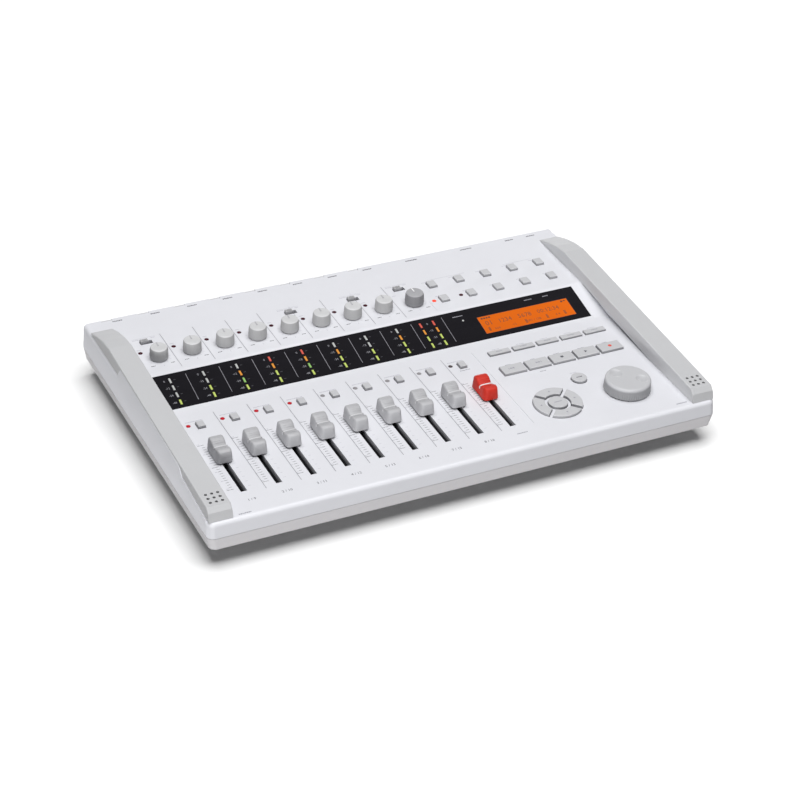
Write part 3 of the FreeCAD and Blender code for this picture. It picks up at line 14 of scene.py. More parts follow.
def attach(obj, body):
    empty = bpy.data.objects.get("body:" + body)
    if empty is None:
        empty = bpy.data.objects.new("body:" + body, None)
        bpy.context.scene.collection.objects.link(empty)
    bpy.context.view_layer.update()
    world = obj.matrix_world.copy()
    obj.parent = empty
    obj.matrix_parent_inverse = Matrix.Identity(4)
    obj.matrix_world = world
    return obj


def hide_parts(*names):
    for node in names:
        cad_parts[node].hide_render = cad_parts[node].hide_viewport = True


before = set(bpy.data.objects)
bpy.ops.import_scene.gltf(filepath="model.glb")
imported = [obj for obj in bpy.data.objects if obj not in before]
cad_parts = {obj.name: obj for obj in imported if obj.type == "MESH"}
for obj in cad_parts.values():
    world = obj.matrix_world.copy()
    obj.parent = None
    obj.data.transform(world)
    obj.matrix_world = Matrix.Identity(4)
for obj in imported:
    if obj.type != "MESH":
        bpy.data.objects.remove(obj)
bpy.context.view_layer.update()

LOG = logging.getLogger("recorder")
MM = 0.001
#: how far printed marks stand over a surface and reach into it, in millimetres
INK_RISE = 0.03
INK_SINK = 0.02

Colour = tuple[float, float, float]
Outline = Sequence[tuple[float, float]]


# Shader building


def add_node(tree: bpy.types.NodeTree, kind: str, settings: dict | None = None,
             values: dict | None = None) -> bpy.types.Node:
    """Adds a node to a tree.

    Args:
        tree: where it goes.
        kind: its type.
        settings: its properties.
        values: a value or a linked socket for each input, by name or index.

    Returns:
        The node.
    """
    made = tree.nodes.new(kind)
    for key, value in (settings or {}).items():
        setattr(made, key, value)
    for key, value in (values or {}).items():
        if isinstance(value, bpy.types.NodeSocket):
            tree.links.new(value, made.inputs[key])
        elif value is not None:
            made.inputs[key].default_value = value
    return made


class Sock:
    """One value in a shader tree; arithmetic on it adds Math nodes."""

    def __init__(self, graph: "ShaderGraph", socket: bpy.types.NodeSocket) -> None:
        """Wraps an output socket of a graph."""
        self.graph = graph
        self.socket = socket

    def _math(self, operation: str, first: "Sock | float", second: "Sock | float") -> "Sock":
        """Adds one Math node."""
        return self.graph.node("ShaderNodeMath", {"operation": operation}, {0: first, 1: second})

    def __add__(self, other: "Sock | float") -> "Sock":
        """Sum."""
        return self._math("ADD", self, other)

    def __radd__(self, other: float) -> "Sock":
        """Sum, number first."""
        return self._math("ADD", other, self)

    def __sub__(self, other: "Sock | float") -> "Sock":
        """Difference."""
        return self._math("SUBTRACT", self, other)

    def __rsub__(self, other: float) -> "Sock":
        """Difference, number first."""
        return self._math("SUBTRACT", other, self)

    def __mul__(self, other: "Sock | float") -> "Sock":
        """Product."""
        return self._math("MULTIPLY", self, other)

    def __rmul__(self, other: float) -> "Sock":
        """Product, number first."""
        return self._math("MULTIPLY", other, self)

    def __truediv__(self, other: "Sock | float") -> "Sock":
        """Quotient."""
        return self._math("DIVIDE", self, other)

    def __pow__(self, other: float) -> "Sock":
        """Power."""
        return self._math("POWER", self, other)

    def __gt__(self, other: "Sock | float") -> "Sock":
        """1 where this value is over the other, else 0."""
        return self._math("GREATER_THAN", self, other)

    def wave(self) -> "Sock":
        """Sine of the value."""
        return self.graph.node("ShaderNodeMath", {"operation": "SINE"}, {0: self})

    def within(self, low: float, high: float) -> "Sock":
        """The value as a share of the way from low to high, kept between 0 and 1."""
        values = {0: self, 1: low, 2: high, 3: 0.0, 4: 1.0}
        return self.graph.node("ShaderNodeMapRange", {"clamp": True}, values)


class ShaderGraph:
    """A material whose nodes are added one call at a time."""

    def __init__(self, name: str) -> None:
        """Starts an empty material."""
        self.material = bpy.data.materials.new(name)
        self.material.use_nodes = True
        self.tree = self.material.node_tree
        self.tree.nodes.clear()
        self._place: Sock | None = None

    def node(self, kind: str, settings: dict | None = None, values: dict | None = None, out: int = 0) -> Sock:
        """Adds a node.

        Args:
            kind: the node's type.
            settings: its properties.
            values: a number or Sock for each input, by name or index.
            out: which output to hand back.

        Returns:
            The chosen output.
        """
        given = dict(values or {})
        for key, value in given.items():
            if isinstance(value, Sock):
                given[key] = value.socket
        return Sock(self, add_node(self.tree, kind, settings, given).outputs[out])

    def place(self) -> Sock:
        """Object coordinates, in metres."""
        if self._place is None:
            self._place = self.node("ShaderNodeTexCoord", out=3)
        return self._place

    def axis(self, index: int) -> Sock:
        """One of the three object coordinates."""
        return self.node("ShaderNodeSeparateXYZ", {}, {0: self.place()}, out=index)

    def noise(self, size: float, detail: float = 2.0, stretch: Sequence[float] = (1, 1, 1)) -> Sock:
        """Soft noise.

        Args:
            size: feature size in millimetres.
            detail: octaves.
            stretch: how much longer the features are along each axis.

        Returns:
            A value around 0.5.
        """
        scale = tuple(1.0 / (size * MM * reach) for reach in stretch)
        where = self.node("ShaderNodeMapping", {}, {"Vector": self.place(), "Scale": scale})
        return self.node("ShaderNodeTexNoise", {}, {"Vector": where, "Scale": 1.0, "Detail": detail})

    def blend(self, factor: Sock | float, first: Colour | Sock, second: Colour | Sock) -> Sock:
        """Mixes two colours."""
        ends = [value if isinstance(value, Sock) else (*value, 1.0) for value in (first, second)]
        return self.node("ShaderNodeMix", {"data_type": "RGBA"}, {0: factor, 6: ends[0], 7: ends[1]}, out=2)

    def bump(self, height: Sock, depth: float, below: Sock | None = None) -> Sock:
        """Turns a height into a normal.

        Args:
            height: a value around 0.5.
            depth: relief in millimetres.
            below: a normal that this one is laid over.

        Returns:
            The normal.
        """
        values = {"Strength": 1.0, "Distance": depth * MM, "Height": height, "Normal": below}
        return self.node("ShaderNodeBump", {}, values)

    def surface(self, **values: "Sock | float | tuple") -> bpy.types.Material:
        """Ends the material in a Principled shader.

        Args:
            values: its inputs, with underscores for the spaces in their names.

        Returns:
            The finished material.
        """
        named = {key.replace("_", " "): value for key, value in values.items()}
        for key in ("Base Color", "Emission Color"):
            if isinstance(named.get(key), tuple):
                named[key] = (*named[key], 1.0)
        shader = self.node("ShaderNodeBsdfPrincipled", {}, named)
        self.node_output(shader)
        return self.material

    def node_output(self, shader: Sock) -> None:
        """Links a shader to the material's output."""
        output = self.tree.nodes.new("ShaderNodeOutputMaterial")
        self.tree.links.new(shader.socket, output.inputs["Surface"])


def shade(tone: Colour, factor: float) -> Colour:
    """The colour made lighter or darker."""
    return tuple(min(channel * factor, 1.0) for channel in tone)


# Finishes


@dataclass(frozen=True)
class MouldedPlastic:
    """Satin moulding with an eroded grain, a slow drift of tone and lightly handled patches."""

    name: str
    tone: Colour
    roughness: float = 0.46
    grain: float = 0.012
    grain_size: float = 0.32
    drift: float = 0.035
    gloss: float = 0.35
    # on the knobs, keys, dial, switches and lower case the darker tone below the level is painted shade; on
    # the jacks the two tones are their own colours
    #: the tone over a level, that level and how far the two tones run into each other, in millimetres
    upper: Colour | None = None
    level: float = 0.0
    run: float = 0.3
    # the lighter side walls are painted light
    #: how much lighter the walls beyond this distance from the middle are, left and right
    wall: float = 1.0
    beyond: float = 187.2

    def shaded(self, graph: ShaderGraph, factor: float) -> Colour | Sock:
        """The tone made lighter or darker, with its change at the level, or with painted light on the side
        walls.

        Args:
            graph: the material in the making.
            factor: how much lighter or darker.

        Returns:
            The tone, as a colour or as a value of the graph.
        """
        low = shade(self.tone, factor)
        # painted light: the side walls beyond the distance get a lighter tone
        if self.wall != 1.0:
            across = graph.axis(0) * graph.axis(0)
            side = across.within(((self.beyond - 0.6) * MM) ** 2, ((self.beyond + 0.6) * MM) ** 2)
            return graph.blend(side, low, shade(self.tone, factor * self.wall))
        if self.upper is None:
            return low
        # split at the level: painted shade below it on most finishes, the jacks' own two colours on theirs
        height = graph.axis(2).within((self.level - self.run) * MM, (self.level + self.run) * MM)
        return graph.blend(height, low, shade(self.upper, factor))

    def build(self) -> bpy.types.Material:
        """Makes the material."""
        graph = ShaderGraph(self.name)
        slow = graph.noise(38.0, 3.0)
        cloud = graph.noise(7.0, 3.0)
        grain = graph.noise(self.grain_size, 4.0)
        pit = graph.noise(self.grain_size * 2.6, 2.0)
        tone = graph.blend((slow * 0.6 + cloud * 0.4).within(0.3, 0.7), self.shaded(graph, 1.0 - self.drift),
                           self.shaded(graph, 1.0 + self.drift * 0.6))
        tone = graph.blend((grain > 0.58) * 0.10, tone, self.shaded(graph, 0.82))
        rough = (cloud - 0.5) * 0.16 + (grain - 0.5) * 0.12 + self.roughness
        normal = graph.bump(grain, self.grain)
        normal = graph.bump(pit, self.grain * 0.7, normal)
        normal = graph.bump(cloud, self.grain * 1.4, normal)
        return graph.surface(Base_Color=tone, Roughness=rough, Specular_IOR_Level=self.gloss, Normal=normal)


@dataclass(frozen=True)
class SmokedAcrylic:
    """Glossy black window with faint dust and wiping marks."""

    name: str
    tone: Colour
    roughness: float = 0.11
    gloss: float = 0.03

    def build(self) -> bpy.types.Material:
        """Makes the material."""
        graph = ShaderGraph(self.name)
        dust = graph.noise(0.5, 2.0)
        wipe = graph.noise(5.0, 3.0, (6, 1, 1))
        tone = graph.blend((dust > 0.66) * 0.35, self.tone, shade(self.tone, 3.0))
        tone = graph.blend(wipe.within(0.35, 0.8) * 0.4, tone, shade(self.tone, 1.5))
        rough = (wipe - 0.5) * 0.10 + (dust > 0.66) * 0.2 + self.roughness
        normal = graph.bump(wipe, 0.004)
        return graph.surface(Base_Color=tone, Roughness=rough, Specular_IOR_Level=self.gloss, Normal=normal)


@dataclass(frozen=True)
class BacklitDisplay:
    """Backlit glass: lighter towards one end, with a faint matrix of cells."""

    name: str
    tone: Colour
    left: float
    right: float
    cell: float = 0.62

    def build(self) -> bpy.types.Material:
        """Makes the material."""
        graph = ShaderGraph(self.name)
        across = graph.axis(0).within(self.left * MM, self.right * MM)
        wave = 2 * math.pi / (self.cell * MM)
        lines = ((graph.axis(0) * wave).wave() > 0.86) * 0.10 + ((graph.axis(1) * wave).wave() > 0.86) * 0.10
        cloud = graph.noise(9.0, 2.0)
        tone = graph.blend(across ** 3.0 * 0.30 + (cloud - 0.5) * 0.25, self.tone, shade(self.tone, 1.12))
        tone = graph.blend(lines, tone, shade(self.tone, 0.72))
        rough = (cloud - 0.5) * 0.1 + 0.34
        return graph.surface(Base_Color=tone, Roughness=rough, Specular_IOR_Level=0.05, Emission_Color=tone,
                             Emission_Strength=0.14)


class LampState(Enum):
    """What a lamp or meter bar shows: its colour and how strongly it glows."""

    PALE_OFF = ((0.50, 0.51, 0.50), 0.0)
    GREY_OFF = ((0.30, 0.29, 0.30), 0.0)
    MAROON_OFF = ((0.050, 0.004, 0.012), 0.0)
    LEAF = ((0.50, 0.60, 0.15), 0.12)
    GREEN = ((0.27, 0.50, 0.15), 0.12)
    AMBER = ((0.66, 0.27, 0.045), 0.14)
    CORAL = ((0.58, 0.10, 0.075), 0.16)
    CRIMSON = ((0.46, 0.004, 0.014), 0.14)
    DUSK_OFF = ((0.085, 0.070, 0.072), 0.0)
    VERMILION = ((0.80, 0.055, 0.020), 0.45)


@dataclass(frozen=True)
class LampResin:
    """Cast lamp body: a clouded resin with fine flecks."""

    name: str
    state: LampState

    def build(self) -> bpy.types.Material:
        """Makes the material."""
        tone, glow = self.state.value
        graph = ShaderGraph(self.name)
        haze = graph.noise(1.6, 2.0)
        flecks = graph.noise(0.25, 3.0)
        cast = graph.blend(haze.within(0.3, 0.7) * 0.5, tone, shade(tone, 0.82))
        cast = graph.blend((flecks > 0.6) * 0.2, cast, shade(tone, 1.25))
        rough = (flecks - 0.5) * 0.16 + 0.30
        normal = graph.bump(flecks, 0.006)
        return graph.surface(Base_Color=cast, Roughness=rough, Specular_IOR_Level=0.12, Emission_Color=cast,
                             Emission_Strength=glow, Normal=normal)


@dataclass(frozen=True)
class PlatedMetal:
    """Plated sheet with fine drawing lines along one axis and slightly dulled patches."""

    name: str
    tone: Colour
    roughness: float = 0.26
    along: tuple[float, float, float] = (12, 1, 1)

    def build(self) -> bpy.types.Material:
        """Makes the material."""
        graph = ShaderGraph(self.name)
        lines = graph.noise(0.16, 3.0, self.along)
        haze = graph.noise(3.0, 3.0)
        tone = graph.blend(haze.within(0.4, 0.75) * 0.6, self.tone, shade(self.tone, 0.72))
        rough = (lines - 0.5) * 0.22 + haze.within(0.45, 0.8) * 0.12 + self.roughness
        normal = graph.bump(lines, 0.003)
        return graph.surface(Base_Color=tone, Roughness=rough, Metallic=1.0, Normal=normal)


@dataclass(frozen=True)
class MouldedRubber:
    """Matt rubber with a coarse skin."""

    name: str
    tone: Colour

    def build(self) -> bpy.types.Material:
        """Makes the material."""
        graph = ShaderGraph(self.name)
        skin = graph.noise(0.45, 5.0)
        dust = graph.noise(4.0, 4.0)
        tone = graph.blend(dust.within(0.45, 0.8) * 0.5, self.tone, shade(self.tone, 2.2))
        rough = (skin - 0.5) * 0.2 + 0.82
        normal = graph.bump(skin, 0.03)
        return graph.surface(Base_Color=tone, Roughness=rough, Specular_IOR_Level=0.25, Normal=normal)


@dataclass(frozen=True)
class BoardLacquer:
    """Circuit board: lacquer over copper runs, with plated spots."""

    name: str
    tone: Colour

    def build(self) -> bpy.types.Material:
        """Makes the material."""
        graph = ShaderGraph(self.name)
        runs = graph.node("ShaderNodeTexBrick", {"offset": 0.37, "squash": 0.6}, {
            "Vector": graph.place(), "Color1": (*self.tone, 1.0), "Color2": (*shade(self.tone, 1.5), 1.0),
            "Mortar": (*shade(self.tone, 0.6), 1.0), "Scale": 160.0, "Mortar Size": 0.08})
        spots = graph.node("ShaderNodeTexVoronoi", {"feature": "F1"},
                           {"Vector": graph.place(), "Scale": 420.0})
        mask = 1.0 - spots.within(0.12, 0.16)
        tone = graph.blend(mask, runs, (0.55, 0.55, 0.50))
        rough = mask * -0.15 + 0.42
        plated = mask * 0.9
        normal = graph.bump(spots, 0.02)
        return graph.surface(Base_Color=tone, Roughness=rough, Metallic=plated, Normal=normal)


@dataclass(frozen=True)
class PrintedInk:
    """Pad-printed ink, a little thin in places."""

    name: str
    tone: Colour
    ground: Colour

    def build(self) -> bpy.types.Material:
        """Makes the material."""
        graph = ShaderGraph(self.name)
        thin = graph.noise(0.35, 3.0)
        tone = graph.blend(thin.within(0.52, 0.78) * 0.45, self.tone, self.ground)
        rough = (thin - 0.5) * 0.2 + 0.5
        normal = graph.bump(thin, 0.004)
        return graph.surface(Base_Color=tone, Roughness=rough, Specular_IOR_Level=0.3, Normal=normal)


@dataclass(frozen=True)
class AcousticCloth:
    """Dark woven screen behind the microphone holes."""

    name: str
    tone: Colour

    def build(self) -> bpy.types.Material:
        """Makes the material."""
        graph = ShaderGraph(self.name)
        wave = 2 * math.pi / (0.34 * MM)
        weave = (graph.axis(0) * wave).wave() * (graph.axis(1) * wave).wave() * 0.5 + 0.5
        tone = graph.blend(weave, shade(self.tone, 0.4), self.tone)
        rough = (weave - 0.5) * 0.1 + 0.9
        normal = graph.bump(weave, 0.05)
        return graph.surface(Base_Color=tone, Roughness=rough, Normal=normal)


# the panel's side walls beyond 187.2 mm are painted 1.2 times lighter: painted light
PANEL_WHITE = MouldedPlastic("panel_white", (0.708, 0.712, 0.750), 0.44, 0.010, 0.30,
                             0.018, 0.38, wall=1.2)
# lower case: white above 13.9 mm; the dark tone below it is painted shade, darkening the tub, door and ribs
# under the skirt to deepen the contact shadow
LOWER_WHITE_OVER_PAINTED_SHADE = MouldedPlastic("lower_white", (0.13, 0.13, 0.135), 0.46, 0.012, 0.34, 0.022,
                             0.36, (0.72, 0.705, 0.725), 13.9, 0.05)
RAIL_GREY = MouldedPlastic("rail_grey", (0.51, 0.513, 0.525), 0.50, 0.014, 0.36, 0.025, 0.34)
# knob sides below 50.6 mm take the darker tone and the tops the lighter one: painted shade on the sides
KNOB_GREY_PAINTED_SHADE = MouldedPlastic("knob_grey", (0.37, 0.37, 0.375), 0.44, 0.010, 0.28, 0.03, 0.35,
                           (0.575, 0.577, 0.585), 50.6, 0.15)
KNOB_DARK_PAINTED_SHADE = MouldedPlastic("knob_dark_grey", (0.20, 0.20, 0.21), 0.42, 0.010, 0.28, 0.04,
                           0.35, (0.345, 0.345, 0.36), 50.6, 0.15)
CAP_GREY = MouldedPlastic("cap_grey", (0.40, 0.40, 0.415), 0.42, 0.010, 0.26, 0.03)
CAP_RED = MouldedPlastic("cap_red", (0.52, 0.030, 0.018), 0.42, 0.008, 0.24, 0.05, 0.16)
KEY_TOP = (0.52, 0.522, 0.538)
# key sides below their tops take this darker tone: painted shade for the side walls and the gaps at their feet
KEY_SIDE_PAINTED_SHADE = (0.33, 0.33, 0.345)
KEY_GREY = MouldedPlastic("key_grey", KEY_SIDE_PAINTED_SHADE, 0.50, 0.008, 0.24, 0.02, 0.35, KEY_TOP, 35.6, 0.15)
SOFT_KEY_GREY = MouldedPlastic("soft_key_grey", KEY_SIDE_PAINTED_SHADE, 0.50, 0.008, 0.24, 0.02, 0.35,
                               KEY_TOP, 35.1, 0.15)
FUNCTION_KEY_GREY = MouldedPlastic("function_key_grey", KEY_SIDE_PAINTED_SHADE, 0.50, 0.008, 0.24, 0.02,
                                   0.35, KEY_TOP, 43.6, 0.15)
# the dial's knurled side below 41.3 mm is darker than its top: painted shade
DIAL_GREY_PAINTED_SHADE = MouldedPlastic("dial_grey", (0.27, 0.272, 0.282), 0.42, 0.008, 0.24, 0.02,
                           0.35, (0.50, 0.503, 0.52), 41.3, 0.7)
# switch sides below 43.2 mm are darker than their tops: painted shade
SWITCH_GREY_PAINTED_SHADE = MouldedPlastic("switch_grey", (0.27, 0.27, 0.28), 0.45, 0.010, 0.24, 0.05,
                             0.35, (0.40, 0.40, 0.41), 43.2, 0.2)
CONTROL_DARK = MouldedPlastic("control_dark", (0.05, 0.05, 0.055), 0.48, 0.016, 0.3, 0.08)
JACK_BLACK = MouldedPlastic("jack_black", (0.024, 0.024, 0.026), 0.40, 0.016, 0.3, 0.10,
                            0.35, (0.60, 0.60, 0.62), 36.8, 0.1)
TAB_GREY = MouldedPlastic("tab_grey", (0.52, 0.52, 0.54), 0.42, 0.012, 0.26, 0.08)
WINDOW_BLACK = SmokedAcrylic("window_black", (0.0095, 0.0088, 0.0112))
FOOT_RUBBER = MouldedRubber("foot_rubber", (0.035, 0.035, 0.036))
BOARD_GREEN = BoardLacquer("board_green", (0.02, 0.12, 0.05))
SOCKET_METAL = PlatedMetal("socket_metal", (0.62, 0.62, 0.63), 0.28, (8, 1, 1))
NUT_METAL = PlatedMetal("nut_metal", (0.58, 0.58, 0.57), 0.22, (1, 1, 6))
SCREW_STEEL = PlatedMetal("screw_steel", (0.16, 0.16, 0.17), 0.34, (1, 1, 4))
SPRING_STEEL = PlatedMetal("spring_steel", (0.64, 0.64, 0.64), 0.24, (1, 1, 10))
GOLD_CONTACT = PlatedMetal("gold_contact", (0.80, 0.58, 0.24), 0.22, (6, 1, 1))
GREY_INK = PrintedInk("grey_ink", (0.30, 0.30, 0.34), (0.62, 0.62, 0.66))
FAINT_INK = PrintedInk("faint_ink", (0.50, 0.50, 0.55), (0.70, 0.70, 0.74))
SOFT_INK = PrintedInk("soft_ink", (0.42, 0.42, 0.44), (0.56, 0.56, 0.58))
RULE_INK = PrintedInk("rule_ink", (0.36, 0.36, 0.39), (0.60, 0.60, 0.64))
DARK_INK = PrintedInk("dark_ink", (0.075, 0.075, 0.09), (0.30, 0.30, 0.34))
RED_INK = PrintedInk("red_ink", (0.68, 0.075, 0.045), (0.66, 0.30, 0.26))
PALE_INK = PrintedInk("pale_ink", (0.30, 0.30, 0.33), (0.12, 0.12, 0.14))
DIM_INK = PrintedInk("dim_ink", (0.10, 0.10, 0.115), (0.04, 0.04, 0.05))
CAP_LINE = PrintedInk("cap_line", (0.60, 0.60, 0.615), (0.50, 0.50, 0.51))
LINE_WHITE = PrintedInk("line_white", (0.80, 0.80, 0.80), (0.64, 0.64, 0.64))
PIXEL_DARK = PrintedInk("pixel_dark", (0.040, 0.016, 0.012), (0.12, 0.035, 0.015))
PIXEL_DIM = PrintedInk("pixel_dim", (0.20, 0.050, 0.014), (0.36, 0.085, 0.014))
MIC_CLOTH = AcousticCloth("mic_cloth", (0.03, 0.03, 0.032))
DISPLAY_ORANGE = BacklitDisplay("display_orange", (0.60, 0.112, 0.006), 77.3, 150.7)

Finish = (MouldedPlastic | SmokedAcrylic | BacklitDisplay | LampResin | PlatedMetal | MouldedRubber
          | BoardLacquer | PrintedInk | AcousticCloth)
_MADE: dict[str, bpy.types.Material] = {}


def material(finish: Finish) -> bpy.types.Material:
    """The finish's material, made once."""
    if finish.name not in _MADE:
        _MADE[finish.name] = finish.build()
    return _MADE[finish.name]


# Mesh building


class Draft:
    """A mesh in the making, in millimetres until it becomes a piece."""

    def __init__(self) -> None:
        """Starts empty."""
        self.points: list[Vector] = []
        self.faces: list[tuple[int, ...]] = []

    def add(self, points: Iterable[Sequence[float]], faces: Iterable[Sequence[int]]) -> "Draft":
        """Adds points and the faces that join them."""
        base = len(self.points)
        self.points.extend(Vector(point) for point in points)
        self.faces.extend(tuple(base + index for index in face) for face in faces)
        return self

    def loft(self, rings: Sequence[Sequence[Sequence[float]]]) -> "Draft":
        """Skins closed rings of as many points each, and closes both ends.

        Args:
            rings: the rings in order, each a list of points.

        Returns:
            This draft.
        """
        count = len(rings[0])
        points = [point for ring in rings for point in ring]
        faces: list[tuple[int, ...]] = [tuple(range(count))[::-1]]
        for level in range(len(rings) - 1):
            low, high = level * count, (level + 1) * count
            for i in range(count):
                after = (i + 1) % count
                faces.append((low + i, low + after, high + after, high + i))
        faces.append(tuple(range((len(rings) - 1) * count, len(rings) * count)))
        return self.add(points, faces)

    def prism(self, outline: Outline, z0: float, z1: float, ease: float = 0.0) -> "Draft":
        """Raises a flat outline.

        Args:
            outline: its corners, in order.
            z0: lower height.
            z1: upper height.
            ease: how far the upper edge is drawn in, as a small chamfer.

        Returns:
            This draft.
        """
        if not ease:
            return self.loft([[(x, y, z) for x, y in outline] for z in (z0, z1)])
        mid = Vector((sum(x for x, _ in outline), sum(y for _, y in outline))) / len(outline)
        inner = []
        for x, y in outline:
            away = Vector((x, y)) - mid
            inner.append(mid + away * max(1 - ease / max(away.length, 1e-6), 0.1))
        return self.loft([[(x, y, z0) for x, y in outline], [(x, y, z1 - ease) for x, y in outline],
                          [(x, y, z1) for x, y in inner]])

    def slab(self, x0: float, x1: float, y0: float, y1: float, z0: float, z1: float,
             ease: float = 0.0) -> "Draft":
        """A plate between two corners."""
        return self.prism([(x0, y0), (x1, y0), (x1, y1), (x0, y1)], z0, z1, ease)

    def lathe(self, profile: Outline, steps: int, centre: Sequence[float] = (0, 0, 0)) -> "Draft":
        """Turns a profile about the upright axis.

        Args:
            profile: its corners as (radius, height); a radius of 0 closes it in a point.
            steps: how many corners the turned form has round it.
            centre: where its axis stands.

        Returns:
            This draft.
        """
        cx, cy, cz = centre
        rings: list[list[int]] = []
        points: list[tuple[float, float, float]] = []
        for radius, z in profile:
            start = len(points)
            if radius < 1e-6:
                points.append((cx, cy, cz + z))
                rings.append([start] * steps)
                continue
            for step in range(steps):
                angle = 2 * math.pi * step / steps
                points.append((cx + radius * math.cos(angle), cy + radius * math.sin(angle), cz + z))
            rings.append(list(range(start, start + steps)))
        faces = []
        closed = profile[0] == profile[-1]
        for low, high in zip(rings, rings[1:]):
            for i in range(steps):
                corners = [low[i], low[(i + 1) % steps], high[(i + 1) % steps], high[i]]
                face = tuple(dict.fromkeys(corners))
                if len(face) > 2:
                    faces.append(face)
        if not closed:
            for ring, turn in ((rings[0], -1), (rings[-1], 1)):
                if ring[0] != ring[-1]:
                    faces.append(tuple(ring[::turn]))
        return self.add(points, faces)

    def take(self, mesh: bpy.types.Mesh) -> "Draft":
        """Adds a finished mesh, given in metres, and clears it away."""
        faces = [tuple(face.vertices) for face in mesh.polygons]
        self.add([vertex.co / MM for vertex in mesh.vertices], faces)
        bpy.data.meshes.remove(mesh)
        return self

    def join(self, other: "Draft") -> "Draft":
        """Adds another draft."""
        return self.add(other.points, other.faces)

    def moved(self, matrix: Matrix) -> "Draft":
        """Places every point through a matrix."""
        self.points = [matrix @ point for point in self.points]
        return self

    def shifted(self, x: float, y: float, z: float) -> "Draft":
        """Moves every point."""
        return self.moved(Matrix.Translation((x, y, z)))

    def mesh(self, name: str, weld: float = 1e-7) -> bpy.types.Mesh:
        """The draft as a mesh in metres, its faces outwards.

        Args:
            name: what the mesh is called.
            weld: points this close, in metres, are joined.

        Returns:
            The mesh.
        """
        data = bpy.data.meshes.new(name)
        data.from_pydata([point * MM for point in self.points], [], self.faces)
        form = bmesh.new()
        form.from_mesh(data)
        bmesh.ops.remove_doubles(form, verts=form.verts, dist=weld)
        bmesh.ops.recalc_face_normals(form, faces=form.faces)
        form.to_mesh(data)
        form.free()
        return data

    def piece(self, name: str, finish: Finish, body: str, slot: str, sharp: float = 35.0) -> bpy.types.Object:
        """Turns the draft into a finished piece.

        Args:
            name: the piece's name.
            finish: what it is made of.
            body: the body that it rides on.
            slot: not used.
            sharp: edges over this many degrees stay crisp.

        Returns:
            The piece, riding on its body.
        """
        data = self.mesh(name)
        data.shade_smooth()
        data.set_sharp_from_angle(angle=math.radians(sharp))
        data.materials.append(material(finish))
        made = bpy.data.objects.new(name, data)
        bpy.context.scene.collection.objects.link(made)
        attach(made, body)
        LOG.info("%s rides on %s: %d faces", name, body, len(data.polygons))
        return made


class RepeatTree:
    """A Geometry Nodes tree with named inputs that repeats one item and bakes to a plain mesh."""

    def __init__(self, name: str) -> None:
        """Starts a tree with its item and material inputs."""
        self.tree = bpy.data.node_groups.new(name, "GeometryNodeTree")
        self.tree.interface.new_socket("Geometry", in_out="OUTPUT", socket_type="NodeSocketGeometry")
        self.entry = self.tree.nodes.new("NodeGroupInput")
        self.item = self.take("Item", "NodeSocketObject")
        self.finish = self.take("Finish", "NodeSocketMaterial")

    def take(self, name: str, kind: str, value: float | int | None = None) -> bpy.types.NodeSocket:
        """Adds a named input and hands back its socket."""
        made = self.tree.interface.new_socket(name, in_out="INPUT", socket_type=kind)
        if value is not None:
            made.default_value = value
        return self.entry.outputs[name]

    def node(self, kind: str, settings: dict | None = None, values: dict | None = None) -> bpy.types.Node:
        """Adds a node with its settings and its inputs' values or links."""
        return add_node(self.tree, kind, settings, values)

    def place_items(self, points: bpy.types.NodeSocket, rotation: bpy.types.NodeSocket | None = None) -> None:
        """Puts the item on every point, realizes the result and sets its material.

        Args:
            points: where the items go.
            rotation: how each is turned, or None for not at all.
        """
        info = self.node("GeometryNodeObjectInfo", {}, {"Object": self.item})
        values = {"Points": points, "Instance": info.outputs["Geometry"]}
        if rotation is not None:
            values["Rotation"] = rotation
        spread = self.node("GeometryNodeInstanceOnPoints", {}, values)
        solid = self.node("GeometryNodeRealizeInstances", {}, {"Geometry": spread.outputs["Instances"]})
        dressed = self.node("GeometryNodeSetMaterial", {},
                            {"Geometry": solid.outputs[0], "Material": self.finish})
        self.node("NodeGroupOutput", {}, {"Geometry": dressed.outputs["Geometry"]})

    def bake(self, item: Draft, finish: Finish, **values: float | int) -> Draft:
        """Runs the tree once.

        Args:
            item: what is repeated, drawn at the origin in millimetres.
            finish: its material.
            values: the tree's named inputs, with underscores for spaces.

        Returns:
            The repeated items as a draft.
        """
        seed = bpy.data.objects.new("repeat_item", item.mesh("repeat_item"))
        host = bpy.data.objects.new("repeat_host", bpy.data.meshes.new("repeat_host"))
        for made in (seed, host):
            bpy.context.scene.collection.objects.link(made)
        modifier = host.modifiers.new("repeat", "NODES")
        modifier.node_group = self.tree
        given = {"Item": seed, "Finish": material(finish)}
        given.update((name.replace("_", " "), value) for name, value in values.items())
        for socket in self.tree.interface.items_tree:
            if socket.in_out == "INPUT" and socket.name in given:
                modifier[socket.identifier] = given[socket.name]
        bpy.context.view_layer.update()
        graph = bpy.context.evaluated_depsgraph_get()
        result = bpy.data.meshes.new_from_object(host.evaluated_get(graph), depsgraph=graph)
        host.modifiers.remove(modifier)
        draft = Draft().take(result)
        for made in (seed, host):
            data = made.data
            bpy.data.objects.remove(made)
            bpy.data.meshes.remove(data)
        return draft


